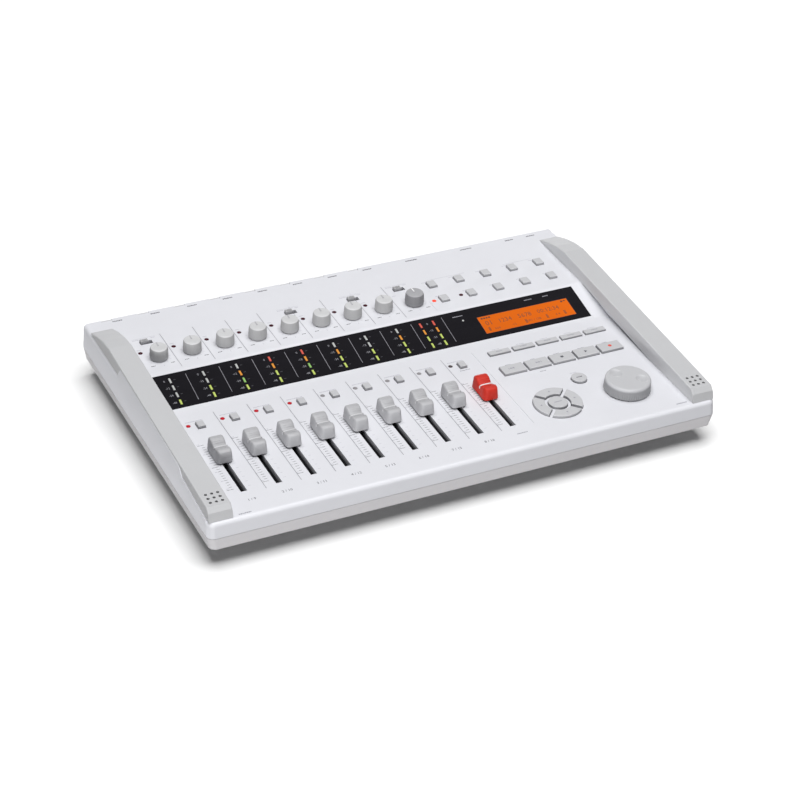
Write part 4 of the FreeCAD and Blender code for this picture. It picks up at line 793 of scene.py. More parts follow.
class RowTree(RepeatTree):
    """Items in rows and columns on the flat, from the first item's place."""

    def __init__(self) -> None:
        """Builds the tree."""
        super().__init__("rows_and_columns")
        columns = self.take("Columns", "NodeSocketInt", 1)
        rows = self.take("Rows", "NodeSocketInt", 1)
        across = self.take("Column Pitch", "NodeSocketFloat", 0.01)
        along = self.take("Row Pitch", "NodeSocketFloat", 0.01)
        step_x = self.node("ShaderNodeCombineXYZ", {}, {"X": across})
        step_y = self.node("ShaderNodeCombineXYZ", {}, {"Y": along})
        line = self.node("GeometryNodeMeshLine", {"mode": "OFFSET"},
                         {"Count": columns, "Offset": step_x.outputs[0]})
        stack = self.node("GeometryNodeMeshLine", {"mode": "OFFSET"},
                          {"Count": rows, "Offset": step_y.outputs[0]})
        field = self.node("GeometryNodeInstanceOnPoints", {},
                          {"Points": stack.outputs["Mesh"], "Instance": line.outputs["Mesh"]})
        points = self.node("GeometryNodeRealizeInstances", {}, {"Geometry": field.outputs["Instances"]})
        self.place_items(points.outputs[0])

    def spread(self, item: Draft, finish: Finish, columns: int, rows: int,
               across: float, along: float) -> Draft:
        """Repeats an item, with its pitches in millimetres."""
        return self.bake(item, finish, Columns=columns, Rows=rows,
                         Column_Pitch=across * MM, Row_Pitch=along * MM)


class RingTree(RepeatTree):
    """Items round a circle, each turned to face outwards."""

    def __init__(self) -> None:
        """Builds the tree."""
        super().__init__("round_a_circle")
        count = self.take("Count", "NodeSocketInt", 12)
        radius = self.take("Radius", "NodeSocketFloat", 0.01)
        circle = self.node("GeometryNodeMeshCircle", {}, {"Vertices": count, "Radius": radius})
        index = self.node("GeometryNodeInputIndex")
        step = self.node("ShaderNodeMath", {"operation": "DIVIDE"}, {0: 2 * math.pi, 1: count})
        turn = self.node("ShaderNodeMath", {"operation": "MULTIPLY"},
                         {0: index.outputs[0], 1: step.outputs[0]})
        euler = self.node("ShaderNodeCombineXYZ", {}, {"Z": turn.outputs[0]})
        facing = self.node("FunctionNodeEulerToRotation", {}, {0: euler.outputs[0]})
        self.place_items(circle.outputs["Mesh"], facing.outputs[0])

    def spread(self, item: Draft, finish: Finish, count: int, radius: float) -> Draft:
        """Repeats an item round a circle, its radius in millimetres."""
        return self.bake(item, finish, Count=count, Radius=radius * MM)


def disc(radius: float, steps: int = 24, x: float = 0.0, y: float = 0.0) -> list[tuple[float, float]]:
    """The outline of a round plate."""
    return [(x + radius * math.cos(2 * math.pi * i / steps), y + radius * math.sin(2 * math.pi * i / steps))
            for i in range(steps)]


def lettering(text: str, height: float, depth: float, x: float, y: float, z: float) -> Draft:
    """Raised numerals as a closed mesh.

    Args:
        text: the characters.
        height: their height in millimetres.
        depth: how far they stand up.
        x: centre along X.
        y: centre along Y.
        z: the surface that they stand on.

    Returns:
        The draft.
    """
    curve = bpy.data.curves.new("numerals", "FONT")
    curve.body = text
    curve.size = height * 1.38
    curve.align_x = "CENTER"
    curve.align_y = "CENTER"
    curve.resolution_u = 2
    curve.extrude = depth / 2
    holder = bpy.data.objects.new("numerals", curve)
    bpy.context.scene.collection.objects.link(holder)
    bpy.context.view_layer.update()
    graph = bpy.context.evaluated_depsgraph_get()
    flat = bpy.data.meshes.new_from_object(holder.evaluated_get(graph), depsgraph=graph)
    faces = [tuple(face.vertices) for face in flat.polygons]
    draft = Draft().add([vertex.co for vertex in flat.vertices], faces)
    bpy.data.objects.remove(holder)
    bpy.data.curves.remove(curve)
    bpy.data.meshes.remove(flat)
    return draft.shifted(x, y, z + depth / 2)


def bars(marks: Iterable[tuple[float, float, float, float]], z: float = 0.0) -> Draft:
    """Thin printed plates.

    Args:
        marks: each one's centre, width and depth.
        z: the surface that they lie on.

    Returns:
        The draft.
    """
    draft = Draft()
    for x, y, wide, deep in marks:
        draft.slab(x - wide / 2, x + wide / 2, y - deep / 2, y + deep / 2, z - INK_SINK, z + INK_RISE)
    return draft


def words(x: float, y: float, wide: float, high: float, z: float, seed: int) -> Draft:
    """A short label drawn as a row of plain strokes of unequal length.

    Args:
        x: its middle along X.
        y: its middle along Y.
        wide: its length.
        high: its height.
        z: the surface that it lies on.
        seed: sets where the strokes break.

    Returns:
        The draft.
    """
    shortest, spread, gap = 0.45, 0.75, 0.28
    draft = Draft()
    at, end = x - wide / 2, x + wide / 2
    state = seed * 7919 + 13
    while at < end - 0.3:
        state = (state * 1103515245 + 12345) % 2147483648
        stop = min(at + shortest + spread * (state % 1000) / 1000, end)
        draft.slab(at, stop, y - high / 2, y + high / 2, z - INK_SINK, z + INK_RISE)
        at = stop + gap
    return draft


ROWS = RowTree()
RING = RingTree()


# The recorder's own measures, in millimetres


@dataclass(frozen=True)
class Case:
    """Panel levels and the slope between them."""

    low: float = 34.0
    high: float = 42.0
    slope_front: float = 5.0
    slope_rear: float = 42.0
    half_width: float = 188.0
    front: float = -118.55
    rear: float = 118.55

    @property
    def lean(self) -> Matrix:
        """Places a draft drawn as (x, distance up the slope, height over it)."""
        angle = math.atan2(self.high - self.low, self.slope_rear - self.slope_front)
        return Matrix.Translation((0, self.slope_front, self.low)) @ Matrix.Rotation(angle, 4, "X")


@dataclass(frozen=True)
class Strips:
    """Eight track strips and the master."""

    first: float = -153.2
    pitch: float = 24.4
    tracks: int = 8

    @property
    def every(self) -> range:
        """The tracks and, last, the master."""
        return range(self.tracks + 1)

    def x(self, index: int) -> float:
        """Centre line of a strip."""
        return self.first + index * self.pitch


@dataclass(frozen=True)
class Keys:
    """Where the keys right of the strips stand, and how far their tops stand over the panel."""

    row: int = 5
    soft_first: float = 75.0
    soft_pitch: float = 19.35
    transport: tuple[float, ...] = (72.6, 93.6, 112.7, 132.2, 151.7)
    transport_y: float = -32.8
    ring: tuple[float, float] = (82.8, -80.6)
    ring_reach: float = 13.2
    exit: tuple[float, float] = (111.4, -59.6)
    rise: float = 2.0
    soft_rise: float = 1.5

    def soft_x(self, index: int) -> float:
        """Middle of a key under the display."""
        return self.soft_first + index * self.soft_pitch


CASE = Case()
STRIPS = Strips()
KEYS = Keys()


def fader_body(index: int) -> str:
    """The body of a strip's fader."""
    return f"track_fader_{index + 1}" if index < STRIPS.tracks else "master_fader"


def knob_body(index: int) -> str:
    """The body of a strip's knob."""
    return f"gain_knob_{index + 1}" if index < STRIPS.tracks else "monitor_knob"


# Sub-assemblies


@dataclass
class FaderCap:
    """Finger cap: a flat rear hump, a ribbed saddle with a white line, and a round nose."""

    rest: float = -51.5
    lift: float = 1.4
    lever_width: float = 1.6
    lever_length: float = 6.0
    lever_foot: float = 26.0
    rib: float = 0.2
    #: along the cap, half width at the foot, half width at the shoulder, height over the panel
    stations: tuple[tuple[float, float, float, float], ...] = (
        (-9.80, 3.2, 2.2, 5.6), (-9.55, 4.2, 3.1, 7.6), (-8.9, 5.1, 4.0, 9.0), (-7.8, 5.55, 4.6, 9.8),
        (-6.4, 5.7, 4.85, 10.1), (-5.2, 5.7, 4.9, 9.9), (-4.2, 5.65, 4.85, 9.4), (-2.6, 5.55, 4.7, 8.6),
        (-1.2, 5.5, 4.6, 8.1), (0.0, 5.5, 4.55, 7.95), (1.2, 5.5, 4.6, 8.3), (2.6, 5.5, 4.7, 9.1),
        (4.0, 5.5, 4.8, 9.9), (5.4, 5.5, 4.85, 10.55), (6.8, 5.5, 4.85, 10.8), (8.0, 5.45, 4.85, 10.75),
        (9.0, 5.4, 4.8, 10.4), (9.5, 5.3, 4.7, 9.6), (9.80, 5.2, 4.5, 7.6))
    ribs: tuple[float, ...] = (-5.0, -3.7, -2.4, 2.5, 3.9, 5.3, 6.9)

    def at(self, y: float) -> tuple[float, float, float]:
        """The cap's measures between two stations.

        Args:
            y: distance along the cap.

        Returns:
            Half width at the foot, half width at the shoulder, and height.
        """
        for low, high in zip(self.stations, self.stations[1:]):
            if low[0] <= y <= high[0]:
                share = (y - low[0]) / (high[0] - low[0])
                share = share * share * (3 - 2 * share) * 0.35 + share * 0.65
                return tuple(a + (b - a) * share for a, b in zip(low[1:], high[1:]))
        return self.stations[0][1:] if y < 0 else self.stations[-1][1:]

    def section(self, y: float, grow: float = 0.0,
                foot: float | None = None) -> list[tuple[float, float, float]]:
        """The closed outline across the cap.

        Args:
            y: distance along it.
            grow: how far the outline stands outside the cap's own.
            foot: its lowest height, or None for the cap's.

        Returns:
            Its points, from the right foot over the top to the left foot.
        """
        base, shoulder, top = self.at(y)
        z0 = self.lift if foot is None else foot
        corner = 1.15
        half = []
        low_share = (z0 - self.lift) / (top - self.lift)
        half.append((base + (shoulder - base) * low_share * 0.9 + grow, z0))
        half.append((base * 0.45 + shoulder * 0.55 + grow, (top + z0) / 2 + 0.8))
        for step in range(5):
            angle = math.radians(12 + 78 * step / 4)
            half.append((shoulder - corner + (corner + grow) * math.cos(angle),
                         top - corner + (corner + grow) * math.sin(angle)))
        half.append((shoulder * 0.35, top + grow + 0.12))
        return [(x, y, z) for x, z in half] + [(-x, y, z) for x, z in half[::-1]]

    def cap(self) -> Draft:
        """The cap, with its ribs."""
        ends = {s[0] for s in self.stations}
        for rib in self.ribs:
            ends.update((rib - 0.34, rib - 0.2, rib + 0.2, rib + 0.34))
        rings = []
        for y in sorted(ends):
            raised = any(abs(y - rib) < 0.25 for rib in self.ribs)
            ring = self.section(y)
            rings.append([(x, py, z + (self.rib if raised and z > 7.0 else 0.0)) for x, py, z in ring])
        return Draft().loft(rings)

    def line(self) -> Draft:
        """The white line across the saddle and down both flanks."""
        rings = []
        for y in (-0.45, 0.45):
            outer = self.section(y, 0.06, 5.6)
            inner = self.section(y, -0.25, 5.6)
            rings.append(outer + inner[::-1])
        return Draft().loft(rings)

    def build(self, index: int) -> None:
        """Makes one strip's cap, line and lever."""
        body = fader_body(index)
        grey = index < STRIPS.tracks
        where = (STRIPS.x(index), self.rest, CASE.low)
        slot = "cap_grey" if grey else "cap_red"
        cap = self.cap().shifted(*where).piece(body + "_cap", CAP_GREY if grey else CAP_RED, body, slot, 28)
        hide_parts(body)
        self.line().shifted(*where).piece(body + "_line", CAP_LINE if grey else LINE_WHITE, body, slot)
        half_x, half_y = self.lever_width / 2, self.lever_length / 2
        lever_top = CASE.low + self.lift + 2.0
        lever = Draft().slab(-half_x, half_x, -half_y, half_y, self.lever_foot, lever_top, 0.2)
        lever.shifted(where[0], where[1], 0).piece(body + "_lever", CONTROL_DARK, body, slot)


@dataclass
class LevelKnob:
    """Round knob with fine upright flutes, a slightly dished top and a pointer line."""

    y: float = 60.0
    radius: float = 6.5
    top_radius: float = 6.05
    foot: float = 0.5
    height: float = 9.2
    shaft: float = 3.0
    shaft_foot: float = 34.5
    flutes: int = 40

    def shell(self) -> Draft:
        """The turned knob with its shaft."""
        top, foot = self.height, self.foot
        shaft, wide, narrow = self.shaft, self.radius, self.top_radius
        shaft_foot = self.shaft_foot - CASE.high
        profile = [(0, shaft_foot), (shaft, shaft_foot), (shaft, foot + 0.4), (wide - 1.1, foot + 0.4),
                   (wide - 1.1, foot), (wide - 0.25, foot), (wide - 0.05, foot + 0.2),
                   (wide - 0.1, foot + 1.2), (narrow - 0.05, top - 1.0), (narrow - 0.22, top - 0.5),
                   (narrow - 0.6, top - 0.14), (narrow - 1.1, top), (narrow - 1.6, top - 0.06),
                   (narrow - 2.6, top - 0.22), (1.4, top - 0.36), (0, top - 0.4)]
        return Draft().lathe(profile, 56)

    def flute(self) -> Draft:
        """One upright rib of the knob's side, drawn where the radius is zero."""
        z0, z1 = self.foot + 1.3, self.height - 1.1
        lean = self.top_radius - self.radius
        rings = []
        for z, wide, proud in ((z0, 0.26, -0.12), (z0 + 0.35, 0.30, 0.10), (z1 - 0.5, 0.27, 0.10),
                               (z1, 0.2, -0.14)):
            shift = lean * (z - self.foot) / (self.height - self.foot)
            rings.append([(shift - 0.35, -wide, z), (shift + proud - 0.06, -wide, z),
                          (shift + proud + 0.04, 0.0, z), (shift + proud - 0.06, wide, z),
                          (shift - 0.35, wide, z)])
        return Draft().loft(rings)

    def pointer(self) -> Draft:
        """The line from the middle of the top to its rear edge, and down the side."""
        top, wide, narrow, half = self.height, self.radius, self.top_radius, 0.42
        bar = Draft().slab(-half, half, 1.2, narrow - 0.75, top - 0.5, top + 0.03, 0.05)
        edge = [(narrow - 0.8, top - 0.6), (narrow - 0.8, top + 0.03), (narrow - 0.28, top - 0.26),
                (narrow + 0.12, top - 1.0), (wide + 0.08, self.foot + 2.4), (wide - 0.6, self.foot + 2.4)]
        side = Draft().loft([[(x, y, z) for y, z in edge] for x in (-half, half)])
        return bar.join(side)

    def build(self, index: int) -> None:
        """Makes one strip's knob."""
        body = knob_body(index)
        track = index < STRIPS.tracks
        finish = KNOB_GREY_PAINTED_SHADE if track else KNOB_DARK_PAINTED_SHADE
        slot = "knob_grey" if track else "knob_dark_grey"
        where = (STRIPS.x(index), self.y, CASE.high)
        form = self.shell().join(RING.spread(self.flute(), finish, self.flutes, self.radius - 0.02))
        made = form.shifted(*where).piece(body + "_shell", finish, body, slot, 32)
        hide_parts(body)
        ink = SOFT_INK if track else LINE_WHITE
        self.pointer().shifted(*where).piece(body + "_pointer", ink, body, slot)


@dataclass
class PanelPrint:
    """Everything printed on the two panel levels and along the rear edge."""

    knob_y: float = 60.0
    fader_ticks: int = 11
    tick_front: float = -87.6
    tick_pitch: float = 5.16
    figures_from: float = -8.9
    line_width: float = 0.34
    long_end: float = 88.0
    short_end: float = 77.0
    short_lines: tuple[int, ...] = (4, 6)
    knob_ticks: int = 12
    bare_tick: int = 9
    switches: tuple[tuple[float, float], ...] = ((-154.7, 85.6), (-46.0, 85.0), (2.7, 84.8), (39.5, 85.2))
    name_widths: tuple[float, ...] = (4.6, 3.4, 5.2, 5.0, 4.2)
    #: middle of each name along the rear edge and its width
    rear_names: tuple[tuple[float, float], ...] = (
        (-163.8, 7.2), (-135.4, 7.2), (-107.7, 7.2), (-80.6, 7.2), (-53.5, 7.2), (-25.8, 7.2), (1.9, 7.2),
        (30.0, 7.2), (66.1, 9.4), (111.7, 9.4), (148.7, 7.2), (167.1, 7.2))

    def fader_scales(self) -> None:
        """Ticks on both sides of the fader slots, long ones at the ends and the middle, and their figures."""
        strips, steps = len(STRIPS.every), self.fader_ticks - 1
        across, along = STRIPS.pitch, self.tick_pitch
        ticks = ROWS.spread(bars([(0, 0, 2.2, 0.28)]), DARK_INK, strips, 2 * steps + 1, across, along / 2)
        ticks.shifted(STRIPS.first - 6.6, self.tick_front, CASE.low)
        long = ROWS.spread(bars([(0, 0, 2.0, 0.32)]), DARK_INK, strips, 3, across, along * steps / 2)
        long.shifted(STRIPS.first + self.figures_from, self.tick_front, CASE.low)
        ticks.join(long).piece("fader_ticks", DARK_INK, "case", "panel_white")
        right = ROWS.spread(bars([(0, 0, 1.8, 0.26)]), FAINT_INK, strips, self.fader_ticks, across, along)
        right.shifted(STRIPS.first + 5.6, self.tick_front, CASE.low)
        right.piece("fader_ticks_right", FAINT_INK, "case", "panel_white")
        figures = Draft()
        for index in STRIPS.every:
            for step in range(0, self.fader_ticks, 2):
                over_long_tick = 1.4 if step in (0, steps) else 0.0
                y = self.tick_front + step * self.tick_pitch + over_long_tick
                figures.join(words(STRIPS.x(index) + self.figures_from, y, 1.7, 0.62, CASE.low, step + index))
        figures.piece("fader_figures", FAINT_INK, "case", "panel_white")

    def strip_lines(self) -> None:
        """Thin lines between the strips on both levels; two of them stop short of a slide switch."""
        half = self.line_width / 2
        rear = Draft()
        for index in range(STRIPS.tracks):
            x = STRIPS.x(index) + 10.9
            end = self.short_end if index in self.short_lines else self.long_end
            rear.slab(x - half, x + half, 44.5, end, CASE.high - INK_SINK, CASE.high + INK_RISE)
        rear.piece("strip_lines_rear", RULE_INK, "case", "panel_white")
        line = Draft().slab(-half, half, -94.5, -3.0, -INK_SINK, INK_RISE)
        front = ROWS.spread(line, RULE_INK, STRIPS.tracks, 1, STRIPS.pitch, 1.0)
        front.shifted(STRIPS.first + 14.4, 0, CASE.low)
        front.piece("strip_lines_front", RULE_INK, "case", "panel_white")

    def strip_numbers(self) -> None:
        """The number pair under each fader."""
        draft = Draft()
        for index in range(STRIPS.tracks):
            text = f"{index + 1} / {index + 9}"
            draft.join(lettering(text, 2.3, INK_RISE, STRIPS.x(index) + 1.4, -101.7, CASE.low))
        draft.piece("strip_numbers", DARK_INK, "case", "panel_white")
        low = words(44.0, -101.6, 8.0, 0.9, CASE.low, 4)
        low.join(words(-161.4, -113.3, 8.5, 1.0, CASE.low, 5))
        low.join(words(163.2, -111.3, 8.5, 1.0, CASE.low, 6))
        low.piece("lower_labels", GREY_INK, "case", "panel_white")

    def knob_marks(self) -> None:
        """Ends of the knob scales, and the small marks round them."""
        high, y = CASE.high, self.knob_y
        dark, faint = Draft(), Draft()
        for index in STRIPS.every:
            x = STRIPS.x(index)
            dark.join(words(x - 7.2, y - 8.6, 3.0, 0.7, high, index + 11))
            dark.join(words(x + 7.2, y - 8.6, 3.0, 0.7, high, index + 23))
            dark.join(words(x + 0.4, y + 10.4, 3.4, 0.6, high, index + 31))
            faint.join(bars([(x - 10.0, y + 13.4, 3.2, 0.5), (x, y - 10.0, 0.35, 1.6)], high))
        dark.piece("knob_labels", DARK_INK, "case", "panel_white")
        faint.piece("knob_marks", FAINT_INK, "case", "panel_white")
        tick = bars([(0, 0, 1.1, 0.24)])
        corners = len(tick.points)
        ring = RING.spread(tick, FAINT_INK, self.knob_ticks, 8.0)
        ticks = Draft()
        for index in STRIPS.every:
            place = Vector((STRIPS.x(index), y, high))
            for number in range(self.knob_ticks):
                if number == self.bare_tick:
                    continue
                start, stop = number * corners, (number + 1) * corners
                faces = [face for face in ring.faces if all(start <= i < stop for i in face)]
                ticks.add([point + place for point in ring.points[start:stop]],
                          [tuple(i - start for i in face) for face in faces])
        ticks.piece("knob_ticks", FAINT_INK, "case", "panel_white")

    def switch_marks(self) -> None:
        """Labels of the slide switches and the lines that lead to them."""
        draft = Draft()
        for x, y in self.switches:
            seed = int(x) % 50 + 60
            draft.join(words(x - 6.0, y, 5.0, 0.7, CASE.high, seed))
            draft.join(words(x + 6.5, y, 3.0, 0.7, CASE.high, seed + 1))
            draft.join(bars([(x, y + 1.4, 17.0, 0.22)], CASE.high))
        draft.piece("switch_labels", FAINT_INK, "case", "panel_white")

    def key_labels(self) -> None:
        """Labels beside the keys on both levels."""
        high, low = CASE.high, CASE.low
        draft = Draft()
        for index in range(KEYS.row):
            x = 64.6 + 22.2 * index
            draft.join(words(x - 2.6, 82.2, 6.4, 0.7, high, index + 71))
            draft.join(words(x - 2.0, 62.0, 5.2, 0.7, high, index + 81))
            draft.join(words(KEYS.soft_x(index), -4.9, 6.0, 0.6, low, index + 91))
        for index in STRIPS.every:
            draft.join(words(STRIPS.x(index) - 1.6, -8.6, 12.0, 0.8, low, index + 111))
        draft.join(words(KEYS.exit[0], KEYS.exit[1] + 8.4, 5.0, 0.7, low, 121))
        draft.piece("key_labels", FAINT_INK, "case", "panel_white")
        names = Draft()
        for index, wide in enumerate(self.name_widths):
            names.join(words(73.7 + 19.5 * index, -25.9, wide, 1.5, low, index + 101))
        names.join(words(93.2, -41.3, 5.0, 0.7, low, 107)).join(words(42.6, -20.4, 8.0, 0.7, low, 108))
        names.piece("transport_labels", GREY_INK, "case", "panel_white")
        line = bars([(80.0, 84.2, 30.0, 0.28), (139.0, 84.2, 24.0, 0.28)], high)
        line.piece("key_group_lines", FAINT_INK, "case", "panel_white")

    def rear_marks(self) -> None:
        """Names of the rear sockets along the edge of the upper panel."""
        draft = Draft()
        for index, (x, wide) in enumerate(self.rear_names):
            draft.join(words(x, 114.2, wide, 1.1, CASE.high, index + 131))
        draft.piece("rear_labels", DARK_INK, "case", "panel_white")

    def build(self) -> None:
        """Prints everything."""
        self.fader_scales()
        self.strip_lines()
        self.strip_numbers()
        self.knob_marks()
        self.switch_marks()
        self.key_labels()
        self.rear_marks()


@dataclass
class MeterBridge:
    """The black window: meter bars, rules, figures, the status lamp and the display."""

    offset: float = -2.1
    master: tuple[float, float] = (34.4, 44.6)
    first: float = 8.6
    pitch: float = 6.9
    size: tuple[float, float] = (1.4, 4.6)
    figures: tuple[str, ...] = ("-48", "-24", "-12", "0")
    under: float = -1.3
    display: tuple[float, float, float, float] = (77.3, 150.7, 8.3, 25.3)

    def states(self) -> list[tuple[LampState, LampState, LampState, LampState]]:
        """What each column shows, from the top bar to the bottom one."""
        off, leaf, green = LampState.PALE_OFF, LampState.LEAF, LampState.GREEN
        amber, coral = LampState.AMBER, LampState.CORAL
        return [(off, off, off, leaf), (off, off, leaf, leaf), (off, amber, green, leaf),
                (coral, amber, leaf, leaf), (coral, amber, green, leaf), (off, amber, leaf, leaf),
                (off, off, leaf, leaf), (off, amber, leaf, leaf), (coral, amber, leaf, leaf),
                (coral, amber, leaf, leaf)]

    def columns(self) -> list[float]:
        """Where the columns stand."""
        return [STRIPS.x(index) + self.offset for index in range(STRIPS.tracks)] + list(self.master)

    def bars(self) -> None:
        """The bars, one piece for each state, on one carrier for each column."""
        drafts: dict[LampState, Draft] = {}
        carriers = Draft()
        half_x, half_v = self.size[0] / 2, self.size[1] / 2
        for x, states in zip(self.columns(), self.states()):
            for step, state in enumerate(states[::-1]):
                v = self.first + step * self.pitch
                draft = drafts.setdefault(state, Draft())
                draft.slab(x - half_x, x + half_x, v - half_v, v + half_v, self.under - 0.3, -0.03, 0.12)
            low, high = self.first - half_v, self.first + 3 * self.pitch + half_v
            carriers.slab(x - half_x - 1.2, x + half_x + 1.2, low, high, self.under - 4.0, self.under, 0.2)
        carrier = carriers.moved(CASE.lean).piece("meter_carriers", CONTROL_DARK, "case", "meter_lamps")
        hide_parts("meter_leds")
        for state, draft in drafts.items():
            name = "meter_bars_" + state.name.lower()
            draft.moved(CASE.lean).piece(name, LampResin(name, state), "case", "meter_lamps")

    def rules(self) -> None:
        """Thin rules between the strips and short dashes beside each bar."""
        rule = bars([(0, 0, 0.32, 25.2)])
        draft = ROWS.spread(rule, PALE_INK, STRIPS.tracks, 1, STRIPS.pitch, 1.0).shifted(-143.0, 19.9, 0)
        draft.join(bars([(52.16, 19.9, 0.32, 25.2)]))
        draft.moved(CASE.lean).piece("window_rules", PALE_INK, "case", "window_black")
        dashes = ROWS.spread(bars([(0, 0, 1.5, 0.26)]), DIM_INK, STRIPS.tracks, 4, STRIPS.pitch, self.pitch)
        dashes.shifted(STRIPS.first + self.offset + 3.1, self.first, 0)
        dashes.moved(CASE.lean).piece("window_dashes", DIM_INK, "case", "window_black")
        figures = Draft()
        for x in self.columns()[:-1]:
            side = 5.1 if x == self.master[0] else -4.2
            for step, text in enumerate(self.figures):
                figures.join(lettering(text, 1.75, INK_RISE, x + side, self.first + step * self.pitch, 0.0))
        figures.moved(CASE.lean).piece("window_figures", PALE_INK, "case", "window_black")

    def lamp(self) -> None:
        """The status lamp in the window and the labels near it."""
        lens = Draft().lathe([(0, -4.8), (0.8, -4.8), (0.8, -0.1), (0.66, 0.02), (0.35, 0.1), (0, 0.12)], 20)
        lens.shifted(66.4, 25.4, 0).moved(CASE.lean)
        lens.piece("window_lamp", LampResin("window_lamp", LampState.PALE_OFF), "case", "panel_lamps")
        labels = Draft()
        for x, v, wide in ((64.4, 30.2, 8.4), (122.4, 31.6, 6.6), (136.8, 31.6, 5.0)):
            labels.join(words(x, v, wide, 0.75, 0.0, int(x)))
        labels.moved(CASE.lean).piece("window_labels", PALE_INK, "case", "window_black")

    def pixels(self) -> None:
        """What the display shows: counter figures, small flags and unlit character cells."""
        left, right, low, high = self.display
        glass = -0.25
        dark, dim = Draft(), Draft()
        for step in range(4):
            x = left + 2.4 + step * 2.0
            dark.slab(x, x + 1.45, high - 2.6, high - 1.3, glass - 0.05, glass + 0.04)
        dark.slab(right - 5.6, right - 4.2, high - 2.8, high - 1.2, glass - 0.05, glass + 0.04)
        dark.slab(right - 3.6, right - 1.8, high - 2.2, high - 1.4, glass - 0.05, glass + 0.04)
        figures = (("01", 4.4, 6.6, 9.6), ("1234", 4.0, 19.4, 9.6), ("5678", 4.0, 35.5, 9.8),
                   ("00:12:34", 3.8, 55.0, 10.2), ("0:00", 1.9, 10.5, 3.2), ("-12", 1.9, 24.0, 3.4),
                   ("001 / 128", 2.1, 40.5, 3.6), ("4 4", 2.1, 60.0, 3.8))
        for text, tall, x, v in figures:
            dim.join(lettering(text, tall, 0.04, left + x, low + v, glass))
        cell = Draft().slab(0, 0.34, 0, 0.44, glass - 0.05, glass + 0.03)
        for x, v in ((4.6, 2.0), (34.2, 2.0), (51.6, 2.2), (66.4, 2.4)):
            dim.join(ROWS.spread(cell, PIXEL_DIM, 4, 7, 0.42, 0.54).shifted(left + x - 1.0, low + v, 0))
        dark.moved(CASE.lean).piece("display_flags", PIXEL_DARK, "case", "display_orange")
        dim.moved(CASE.lean).piece("display_cells", PIXEL_DIM, "case", "display_orange")
        rim = 0.14
        gasket = Draft()
        for x0, x1, v0, v1 in ((left - rim, right + rim, low - rim, low),
                               (left - rim, right + rim, high, high + rim),
                               (left - rim, left, low, high), (right, right + rim, low, high)):
            gasket.slab(x0, x1, v0, v1, -1.2, -0.06)
        gasket.moved(CASE.lean).piece("display_gasket", CONTROL_DARK, "case", "window_black")

    def build(self) -> None:
        """Makes everything in the window."""
        self.bars()
        self.rules()
        self.lamp()
        self.pixels()


@dataclass
class PanelLamps:
    """Round lamps beside the knobs, track keys and function keys."""

    radius: float = 1.5
    length: float = 5.0
    dome: float = 0.5

    def lens(self) -> Draft:
        """One lamp, its flange at the panel."""
        r, d = self.radius, self.dome
        profile = [(0, -self.length), (r - 0.3, -self.length), (r - 0.1, -self.length + 0.3), (r - 0.02, -0.2),
                   (r - 0.02, 0.06), (r - 0.16, d * 0.42), (r * 0.66, d * 0.78), (r * 0.3, d * 0.96), (0, d)]
        return Draft().lathe(profile, 24)

    def beside_key(self, index: int) -> tuple[float, float, float]:
        """Where the lamp of a strip's key stands."""
        return STRIPS.x(index) - 7.0, -12.6, CASE.low

    def build(self) -> None:
        """Makes the lamps by what they show."""
        groups: dict[LampState, list[tuple[float, float, float]]] = {
            LampState.MAROON_OFF: [(STRIPS.x(i) - 10.0, 69.6, CASE.high) for i in range(STRIPS.tracks)]
            + [(78.8, 57.6, CASE.high)],
            LampState.CRIMSON: [self.beside_key(index) for index in range(4)],
            LampState.GREY_OFF: [self.beside_key(index) for index in range(4, STRIPS.tracks)],
            LampState.VERMILION: [(56.8, 57.3, CASE.high)],
            LampState.DUSK_OFF: [self.beside_key(STRIPS.tracks)],
        }
        first = True
        for state, places in groups.items():
            draft = Draft()
            for place in places:
                draft.join(self.lens().shifted(*place))
            name = "lamps_" + state.name.lower()
            made = draft.piece(name, LampResin(name, state), "case", "panel_lamps", 50)
            if first:
                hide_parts("indicator_leds")
                first = False


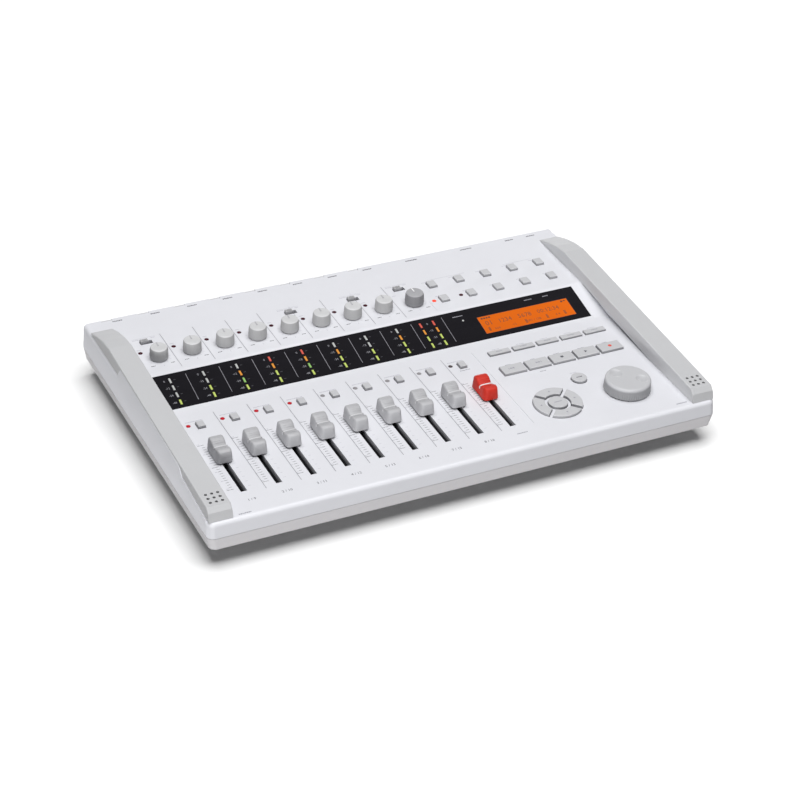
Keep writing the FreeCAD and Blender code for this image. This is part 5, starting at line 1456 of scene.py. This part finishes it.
@dataclass
class KeyMarks:
    """Transport symbols and the small marks printed on the keys."""

    double: float = 1.9
    single: float = 2.3
    square: tuple[float, float] = (2.2, 2.0)
    dot: float = 1.35
    arrow: float = 1.6

    def triangle(self, x: float, y: float, size: float, direction: int, z: float) -> Draft:
        """A triangle that points along X.

        Args:
            x: its middle along X.
            y: its middle along Y.
            size: its length.
            direction: 1 to the right, -1 to the left.
            z: the surface that it lies on.

        Returns:
            The draft.
        """
        tip, back, half = x + direction * size / 2, x - direction * size / 2, size * 0.55
        return Draft().prism([(tip, y), (back, y + half), (back, y - half)], z - INK_SINK, z + INK_RISE)

    def transport(self) -> None:
        """The five transport symbols."""
        z, y = CASE.low + KEYS.rise, KEYS.transport_y
        rewind_x, forward_x, stop_x, play_x, record_x = KEYS.transport
        for name, x, turn in (("rewind", rewind_x, -1), ("forward", forward_x, 1)):
            pair = bars([(x + turn * 2.35, y, 0.3, 2.1)], z)
            for side in (-1.0, 1.0):
                pair.join(self.triangle(x + side, y, self.double, turn, z))
            pair.piece(name + "_symbol", GREY_INK, name + "_key", "key_grey")
        bars([(stop_x, y, *self.square)], z).piece("stop_symbol", DARK_INK, "stop_key", "key_grey")
        play = self.triangle(play_x, y, self.single, 1, z)
        play.piece("play_symbol", DARK_INK, "play_key", "key_grey")
        record = Draft().prism(disc(self.dot, 24, record_x, y), z - INK_SINK, z + INK_RISE)
        record.piece("record_symbol", RED_INK, "record_key", "key_grey")

    def small(self) -> None:
        """Marks on the cursor, enter, exit, soft and track keys."""
        z = CASE.low + KEYS.rise
        x, y = KEYS.ring
        for name, dx, dy, turn in (("cursor_right_key", 1, 0, 0), ("cursor_up_key", 0, 1, 90),
                                   ("cursor_left_key", -1, 0, 180), ("cursor_down_key", 0, -1, 270)):
            arrow = self.triangle(0, 0, self.arrow, 1, z).moved(Matrix.Rotation(math.radians(turn), 4, "Z"))
            arrow.shifted(x + dx * KEYS.ring_reach, y + dy * KEYS.ring_reach, 0)
            arrow.piece(name + "_mark", GREY_INK, name, "key_grey")
        words(x, y, 5.6, 0.8, z, 3).piece("enter_mark", GREY_INK, "enter_key", "key_grey")
        words(*KEYS.exit, 4.4, 0.9, z, 4).piece("exit_mark", DARK_INK, "exit_key", "key_grey")
        soft = Draft()
        for index in range(KEYS.row):
            soft.join(words(KEYS.soft_x(index), -9.8, 5.4, 0.7, CASE.low + KEYS.soft_rise, index + 7))
        soft.piece("soft_key_marks", GREY_INK, "soft_keys", "key_grey")
        track = bars([(STRIPS.x(index) + 0.9, -14.8, 1.8, 0.35) for index in STRIPS.every], z)
        track.piece("track_key_marks", FAINT_INK, "track_keys", "key_grey")

    def build(self) -> None:
        """Prints every key."""
        self.transport()
        self.small()


@dataclass
class RearSockets:
    """What the rear sockets add to their moulded bodies."""

    first: float = 19.7
    pitch: float = 27.2
    z: float = 21.0
    line_x: tuple[float, ...] = (52.0, 80.0, 111.7)
    line_z: float = 27.0
    sleeve_depth: float = 3.0
    pin_ring: float = 5.6
    tab_z: float = 40.4

    def upright(self, x: float, y: float, z: float) -> Matrix:
        """Turns a draft made about the upright axis to face the rear."""
        return Matrix.Translation((x, y, z)) @ Matrix.Rotation(math.radians(-90), 4, "X")

    def build(self) -> None:
        """Makes the sleeves, pins, rims, lips and tab ridges."""
        rings, pins, ridges, grips = Draft(), Draft(), Draft(), Draft()
        for index in range(8):
            x = self.first - index * self.pitch
            sleeve = Draft().lathe([(3.3, -2.0), (3.3, 0.08), (3.45, 0.16), (3.8, 0.16), (3.9, 0.0),
                                    (3.9, -2.0), (3.3, -2.0)], 32)
            rings.join(sleeve.moved(self.upright(x, CASE.rear - self.sleeve_depth, self.z)))
            rim = Draft().lathe([(9.7, -1.0), (9.7, 0.1), (9.9, 0.25), (10.5, 0.25), (10.7, 0.0), (10.7, -1.0),
                                 (9.7, -1.0)], 48)
            ridges.join(rim.moved(self.upright(x, CASE.rear - 0.27, self.z)))
            socket = Draft().lathe([(0.75, -2.4), (0.75, 0.05), (1.2, 0.05), (1.25, -2.4), (0.75, -2.4)], 16)
            trio = RING.spread(socket, GOLD_CONTACT, 3, self.pin_ring)
            trio.moved(Matrix.Rotation(math.radians(30), 4, "Z"))
            pins.join(trio.moved(self.upright(x, CASE.rear - self.sleeve_depth, self.z)))
            bar = Draft().slab(-2.6, 2.6, -0.16, 0.16, 0, 0.22, 0.08)
            lines = ROWS.spread(bar, TAB_GREY, 1, 4, 1.0, 0.62).shifted(0, -0.3, 0)
            flat = Matrix.Diagonal((1, 1, 0.6, 1))
            grips.join(lines.moved(self.upright(x, CASE.rear - 0.14, self.tab_z) @ flat))
        rings.piece("plug_sleeves", NUT_METAL, "case", "socket_metal")
        pins.piece("pin_sleeves", GOLD_CONTACT, "case", "socket_metal")
        ridges.piece("socket_rims", CONTROL_DARK, "case", "jack_black")
        grips.piece("tab_ridges", TAB_GREY, "case", "jack_black")
        lips = Draft()
        for x in self.line_x:
            lip = Draft().lathe([(3.3, -1.5), (3.3, -0.1), (3.5, -0.02), (4.7, -0.02), (4.9, -0.12),
                                 (4.9, -1.5), (3.3, -1.5)], 32)
            lips.join(lip.moved(self.upright(x, CASE.rear, self.line_z)))
        lips.piece("line_socket_lips", NUT_METAL, "case", "socket_metal")


@dataclass
class SideSockets:
    """Contacts inside the sockets of the right hand wall."""

    face: float = 186.8
    z: float = 30.0
    host_y: float = 88.0
    device_y: float = 66.0
    card_y: float = 29.0

    def build(self) -> None:
        """Makes the contact strips and the card guides."""
        strip = Draft().slab(-5.0, 0.0, -0.5, 0.5, 0, 0.1, 0.03)
        contacts = Draft()
        for middle, count, pitch in ((self.host_y, 4, 2.4), (self.device_y, 2, 2.2)):
            row = ROWS.spread(strip, GOLD_CONTACT, 1, count, 1.0, pitch)
            contacts.join(row.shifted(self.face - 1.8, middle - (count - 1) * pitch / 2, self.z + 0.95))
        contacts.piece("data_contacts", GOLD_CONTACT, "case", "socket_metal")
        guides = Draft()
        for y0, y1 in ((16.6, 17.6), (40.4, 41.4)):
            guides.slab(self.face - 20.0, self.face - 0.4, y0, y1, self.z - 1.4, self.z + 1.4, 0.2)
        guides.slab(self.face - 23.0, self.face - 18.0, 17.6, 40.4, self.z - 1.4, self.z + 1.4, 0.2)
        guides.piece("card_guides", CONTROL_DARK, "case", "socket_metal")
        label = Draft()
        for y, wide in ((self.host_y, 5.0), (self.device_y, 5.0), (self.card_y, 9.0)):
            for step in range(int(wide)):
                label.slab(187.55, 187.72, y - wide / 2 + step, y - wide / 2 + step + 0.7, 35.6, 36.3)
        label.piece("side_labels", FAINT_INK, "case", "panel_white")


@dataclass
class Underside:
    """Foot rings, strengthening ribs, the door's arrow and the polarity marks."""

    feet: tuple[tuple[float, float], ...] = ((140.0, -88.0), (140.0, 98.0), (-140.0, -88.0), (-140.0, 98.0))
    floor: float = 2.5
    cells: int = 6
    cell_first: float = -41.67
    cell_pitch: float = 16.667
    bay_y: float = -42.0
    mark_reach: float = 20.0
    mark_z: tuple[float, float] = (19.66, 19.82)

    def build(self) -> None:
        """Makes the underside's pieces."""
        rings = Draft()
        for x, y in self.feet:
            for radius in (1.6, 3.2, 4.8):
                ring = Draft().lathe([(radius, 0.005), (radius + 0.7, 0.005), (radius + 0.7, 0.5),
                                      (radius, 0.5), (radius, 0.005)], 32)
                rings.join(ring.shifted(x, y, 0.0))
        rings.piece("foot_rings", FOOT_RUBBER, "case", "foot_rubber")
        rib = Draft().slab(-0.6, 0.6, -34.0, 34.0, self.floor - 0.5, self.floor + 0.1, 0.2)
        ribs = ROWS.spread(rib, LOWER_WHITE_OVER_PAINTED_SHADE, 9, 1, 6.0, 1.0)
        left = Draft().join(ribs).shifted(-110.0, 44.0, 0)
        right = Draft().join(ribs).shifted(62.0, 44.0, 0)
        left.join(right).piece("floor_ribs", LOWER_WHITE_OVER_PAINTED_SHADE, "case", "lower_white")
        arrow = Draft().prism([(-3.0, 0), (3.0, 0), (0, 3.6)], self.floor - 0.06, self.floor + 0.05)
        arrow.shifted(0, -46.0, 0).piece("door_arrow", GREY_INK, "battery_door", "lower_white")
        marks = Draft()
        low, high = self.mark_z
        for index in range(self.cells):
            x = self.cell_first + index * self.cell_pitch
            side = 1 if index % 2 else -1
            y = self.bay_y + side * self.mark_reach
            marks.slab(x - 1.6, x + 1.6, y - 0.3, y + 0.3, low, high)
            if side > 0:
                marks.slab(x - 0.3, x + 0.3, y - 1.6, y + 1.6, low, high)
        marks.piece("polarity_marks", GREY_INK, "case", "lower_white")


@dataclass
class MicScreens:
    """Cloth behind the nine holes at the front end of each rail."""

    x: float = 178.2
    y: float = -102.8

    def build(self) -> None:
        """Makes both screens."""
        draft = Draft()
        for side in (-1, 1):
            draft.prism(disc(4.1, 28, side * self.x, self.y), 40.75, 41.0)
        draft.piece("mic_screens", MIC_CLOTH, "case", "socket_metal")


@dataclass
class Housing:
    """Finishes for the pieces whose shapes come from the model as they are."""

    finishes: tuple[tuple[str, Finish], ...] = (
        ("top_case", PANEL_WHITE), ("bottom_case", LOWER_WHITE_OVER_PAINTED_SHADE), ("rear_panel", LOWER_WHITE_OVER_PAINTED_SHADE),
        ("left_rail", RAIL_GREY), ("right_rail", RAIL_GREY),
        ("meter_window", WINDOW_BLACK), ("display_module", DISPLAY_ORANGE), ("circuit_boards", BOARD_GREEN),
        ("control_bodies", CONTROL_DARK), ("switch_bodies", CONTROL_DARK),
        ("input_jacks", JACK_BLACK), ("line_jacks", JACK_BLACK), ("power_inlet", JACK_BLACK),
        ("side_sockets", SOCKET_METAL), ("mic_capsules", SOCKET_METAL), ("rubber_feet", FOOT_RUBBER),
        ("case_screws", SCREW_STEEL), ("battery_contacts", SPRING_STEEL), ("battery_door", LOWER_WHITE_OVER_PAINTED_SHADE),
        ("jog_dial", DIAL_GREY_PAINTED_SHADE), ("soft_keys", SOFT_KEY_GREY), ("function_keys_rear", FUNCTION_KEY_GREY),
        ("function_keys_front", FUNCTION_KEY_GREY), ("power_switch", SWITCH_GREY_PAINTED_SHADE),
        ("guitar_input_switch", SWITCH_GREY_PAINTED_SHADE), ("phantom_switch", SWITCH_GREY_PAINTED_SHADE),
        ("built_in_mic_switch", SWITCH_GREY_PAINTED_SHADE), ("monitor_switch", SWITCH_GREY_PAINTED_SHADE))

    def build(self) -> None:
        """Dresses every node that is shown as it is."""
        chosen = dict(self.finishes)
        for name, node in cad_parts.items():
            if node.hide_render:
                continue
            finish = chosen.get(name, KEY_GREY)
            if not node.material_slots:
                node.data.materials.append(material(finish))
            for slot in node.material_slots:
                slot.link = "OBJECT"
                slot.material = material(finish)
            LOG.info("%s is finished in %s", name, finish.name)


@dataclass
class Studio:
    """Camera, floor and lights."""

    azimuth: float = -27.94
    elevation: float = 34.548
    roll: float = 3.629
    distance: float = 1542.626
    lens: float = 99.2013
    shift_right: float = 2.866
    shift_up: float = -6.286
    aim: float = 14.0
    ambient: float = 0.08
    floor_tone: float = 1.1
    bounce: float = 0.15
    #: the floor grows paler between these distances from the middle, in metres
    near: float = 0.42
    far: float = 1.20
    far_tone: float = 1.75
    #: each soft lamp's name, strength in watts, width and height, and place, in metres
    soft_lamps: tuple[tuple[str, float, tuple[float, float], tuple[float, float, float]], ...] = (
        ("overhead", 36.0, (1.5, 1.5), (-0.02, -0.14, 1.76)),
        ("front_fill", 36.0, (2.0, 0.24), (-1.42, -1.89, 0.16)),
        ("rear_fill", 5.0, (1.6, 0.30), (1.30, 1.90, 0.26)))

    def camera(self) -> None:
        """Puts the camera where the photograph was taken from."""
        azimuth, elevation, roll = (math.radians(v) for v in (self.azimuth, self.elevation, self.roll))
        back = Vector((math.sin(azimuth) * math.cos(elevation), -math.cos(azimuth) * math.cos(elevation),
                       math.sin(elevation)))
        right = (-back).cross(Vector((0, 0, 1))).normalized()
        up = right.cross(-back)
        turned_right = right * math.cos(roll) + up * math.sin(roll)
        turned_up = up * math.cos(roll) - right * math.sin(roll)
        eye = back * self.distance + turned_right * self.shift_right + turned_up * self.shift_up
        eye += Vector((0, 0, self.aim))
        data = bpy.data.cameras.new("camera")
        data.lens = self.lens
        data.sensor_width = 36.0
        data.clip_start = 0.05
        data.clip_end = 30.0
        camera = bpy.data.objects.new("camera", data)
        camera.matrix_world = Matrix((turned_right, turned_up, back)).transposed().to_4x4()
        camera.matrix_world.translation = eye * MM
        bpy.context.scene.collection.objects.link(camera)
        bpy.context.scene.camera = camera

    def floor(self) -> None:
        """Pale floor that keeps the object's shadow and goes white where light reaches it."""
        graph = ShaderGraph("studio_floor")
        path = graph.node("ShaderNodeLightPath")
        seen = Sock(graph, path.socket.node.outputs["Is Camera Ray"])
        glossy = Sock(graph, path.socket.node.outputs["Is Glossy Ray"])
        through = Sock(graph, path.socket.node.outputs["Is Transmission Ray"])
        direct = (seen + glossy + through) > 0.5
        reach = graph.axis(0) * graph.axis(0) + graph.axis(1) * graph.axis(1)
        far = reach.within(self.near ** 2, self.far ** 2)
        shown = graph.blend(far, (self.floor_tone,) * 3, (self.far_tone,) * 3)
        pale = graph.blend(direct, (self.bounce,) * 3, shown)
        shader = graph.node("ShaderNodeBsdfDiffuse", {}, {"Color": pale, "Roughness": 0.0})
        graph.node_output(shader)
        floor = Draft().slab(-6000, 6000, -6000, 6000, -20.0, -0.05).mesh("studio_floor")
        floor.materials.append(graph.material)
        made = bpy.data.objects.new("studio_floor", floor)
        bpy.context.scene.collection.objects.link(made)

    def lights(self) -> None:
        """An even surround, one large soft lamp overhead and low ones in front and behind."""
        world = bpy.data.worlds.new("studio")
        world.use_nodes = True
        tree = world.node_tree
        tree.nodes.clear()
        rays = add_node(tree, "ShaderNodeLightPath").outputs
        plain = add_node(tree, "ShaderNodeMath", {"operation": "ADD"},
                         {0: rays["Is Camera Ray"], 1: rays["Is Glossy Ray"]})
        direct = add_node(tree, "ShaderNodeMath", {"operation": "ADD"},
                          {0: plain.outputs[0], 1: rays["Is Transmission Ray"]})
        fill = add_node(tree, "ShaderNodeBackground", {},
                        {"Color": (0.97, 0.98, 1.0, 1), "Strength": self.ambient})
        seen = add_node(tree, "ShaderNodeBackground", {}, {"Color": (1, 1, 1, 1), "Strength": 1.0})
        mix = add_node(tree, "ShaderNodeMixShader", {},
                       {0: direct.outputs[0], 1: fill.outputs[0], 2: seen.outputs[0]})
        add_node(tree, "ShaderNodeOutputWorld", {}, {"Surface": mix.outputs[0]})
        bpy.context.scene.world = world
        for name, power, size, place in self.soft_lamps:
            self.softbox(name, power, size, place)

    def softbox(self, name: str, power: float, size: tuple[float, float],
                place: tuple[float, float, float]) -> None:
        """Adds a soft lamp turned towards the recorder.

        Args:
            name: what it is called.
            power: its strength in watts.
            size: its width and height in metres.
            place: where it stands.
        """
        lamp = bpy.data.lights.new(name, "AREA")
        lamp.shape = "RECTANGLE"
        lamp.size, lamp.size_y = size
        lamp.energy = power
        box = bpy.data.objects.new(name, lamp)
        box.location = place
        box.rotation_euler = (-box.location).to_track_quat("-Z", "Y").to_euler()
        bpy.context.scene.collection.objects.link(box)

    def build(self) -> None:
        """Sets the studio up."""
        self.camera()
        self.floor()
        self.lights()
        view = bpy.context.scene.view_settings
        view.view_transform = "Standard"


def main() -> None:
    """Builds the recorder's finishes and pieces, then the studio."""
    logging.basicConfig(level=logging.INFO, format="%(message)s")
    cap, knob = FaderCap(), LevelKnob()
    monitor = LevelKnob(radius=6.9, top_radius=6.45, flutes=44)
    for index in STRIPS.every:
        cap.build(index)
        (knob if index < STRIPS.tracks else monitor).build(index)
    for group in (PanelPrint(), MeterBridge(), PanelLamps(), KeyMarks(), RearSockets(), SideSockets(),
                  Underside(), MicScreens(), Housing(), Studio()):
        group.build()


if __name__ == "__main__":
    main()
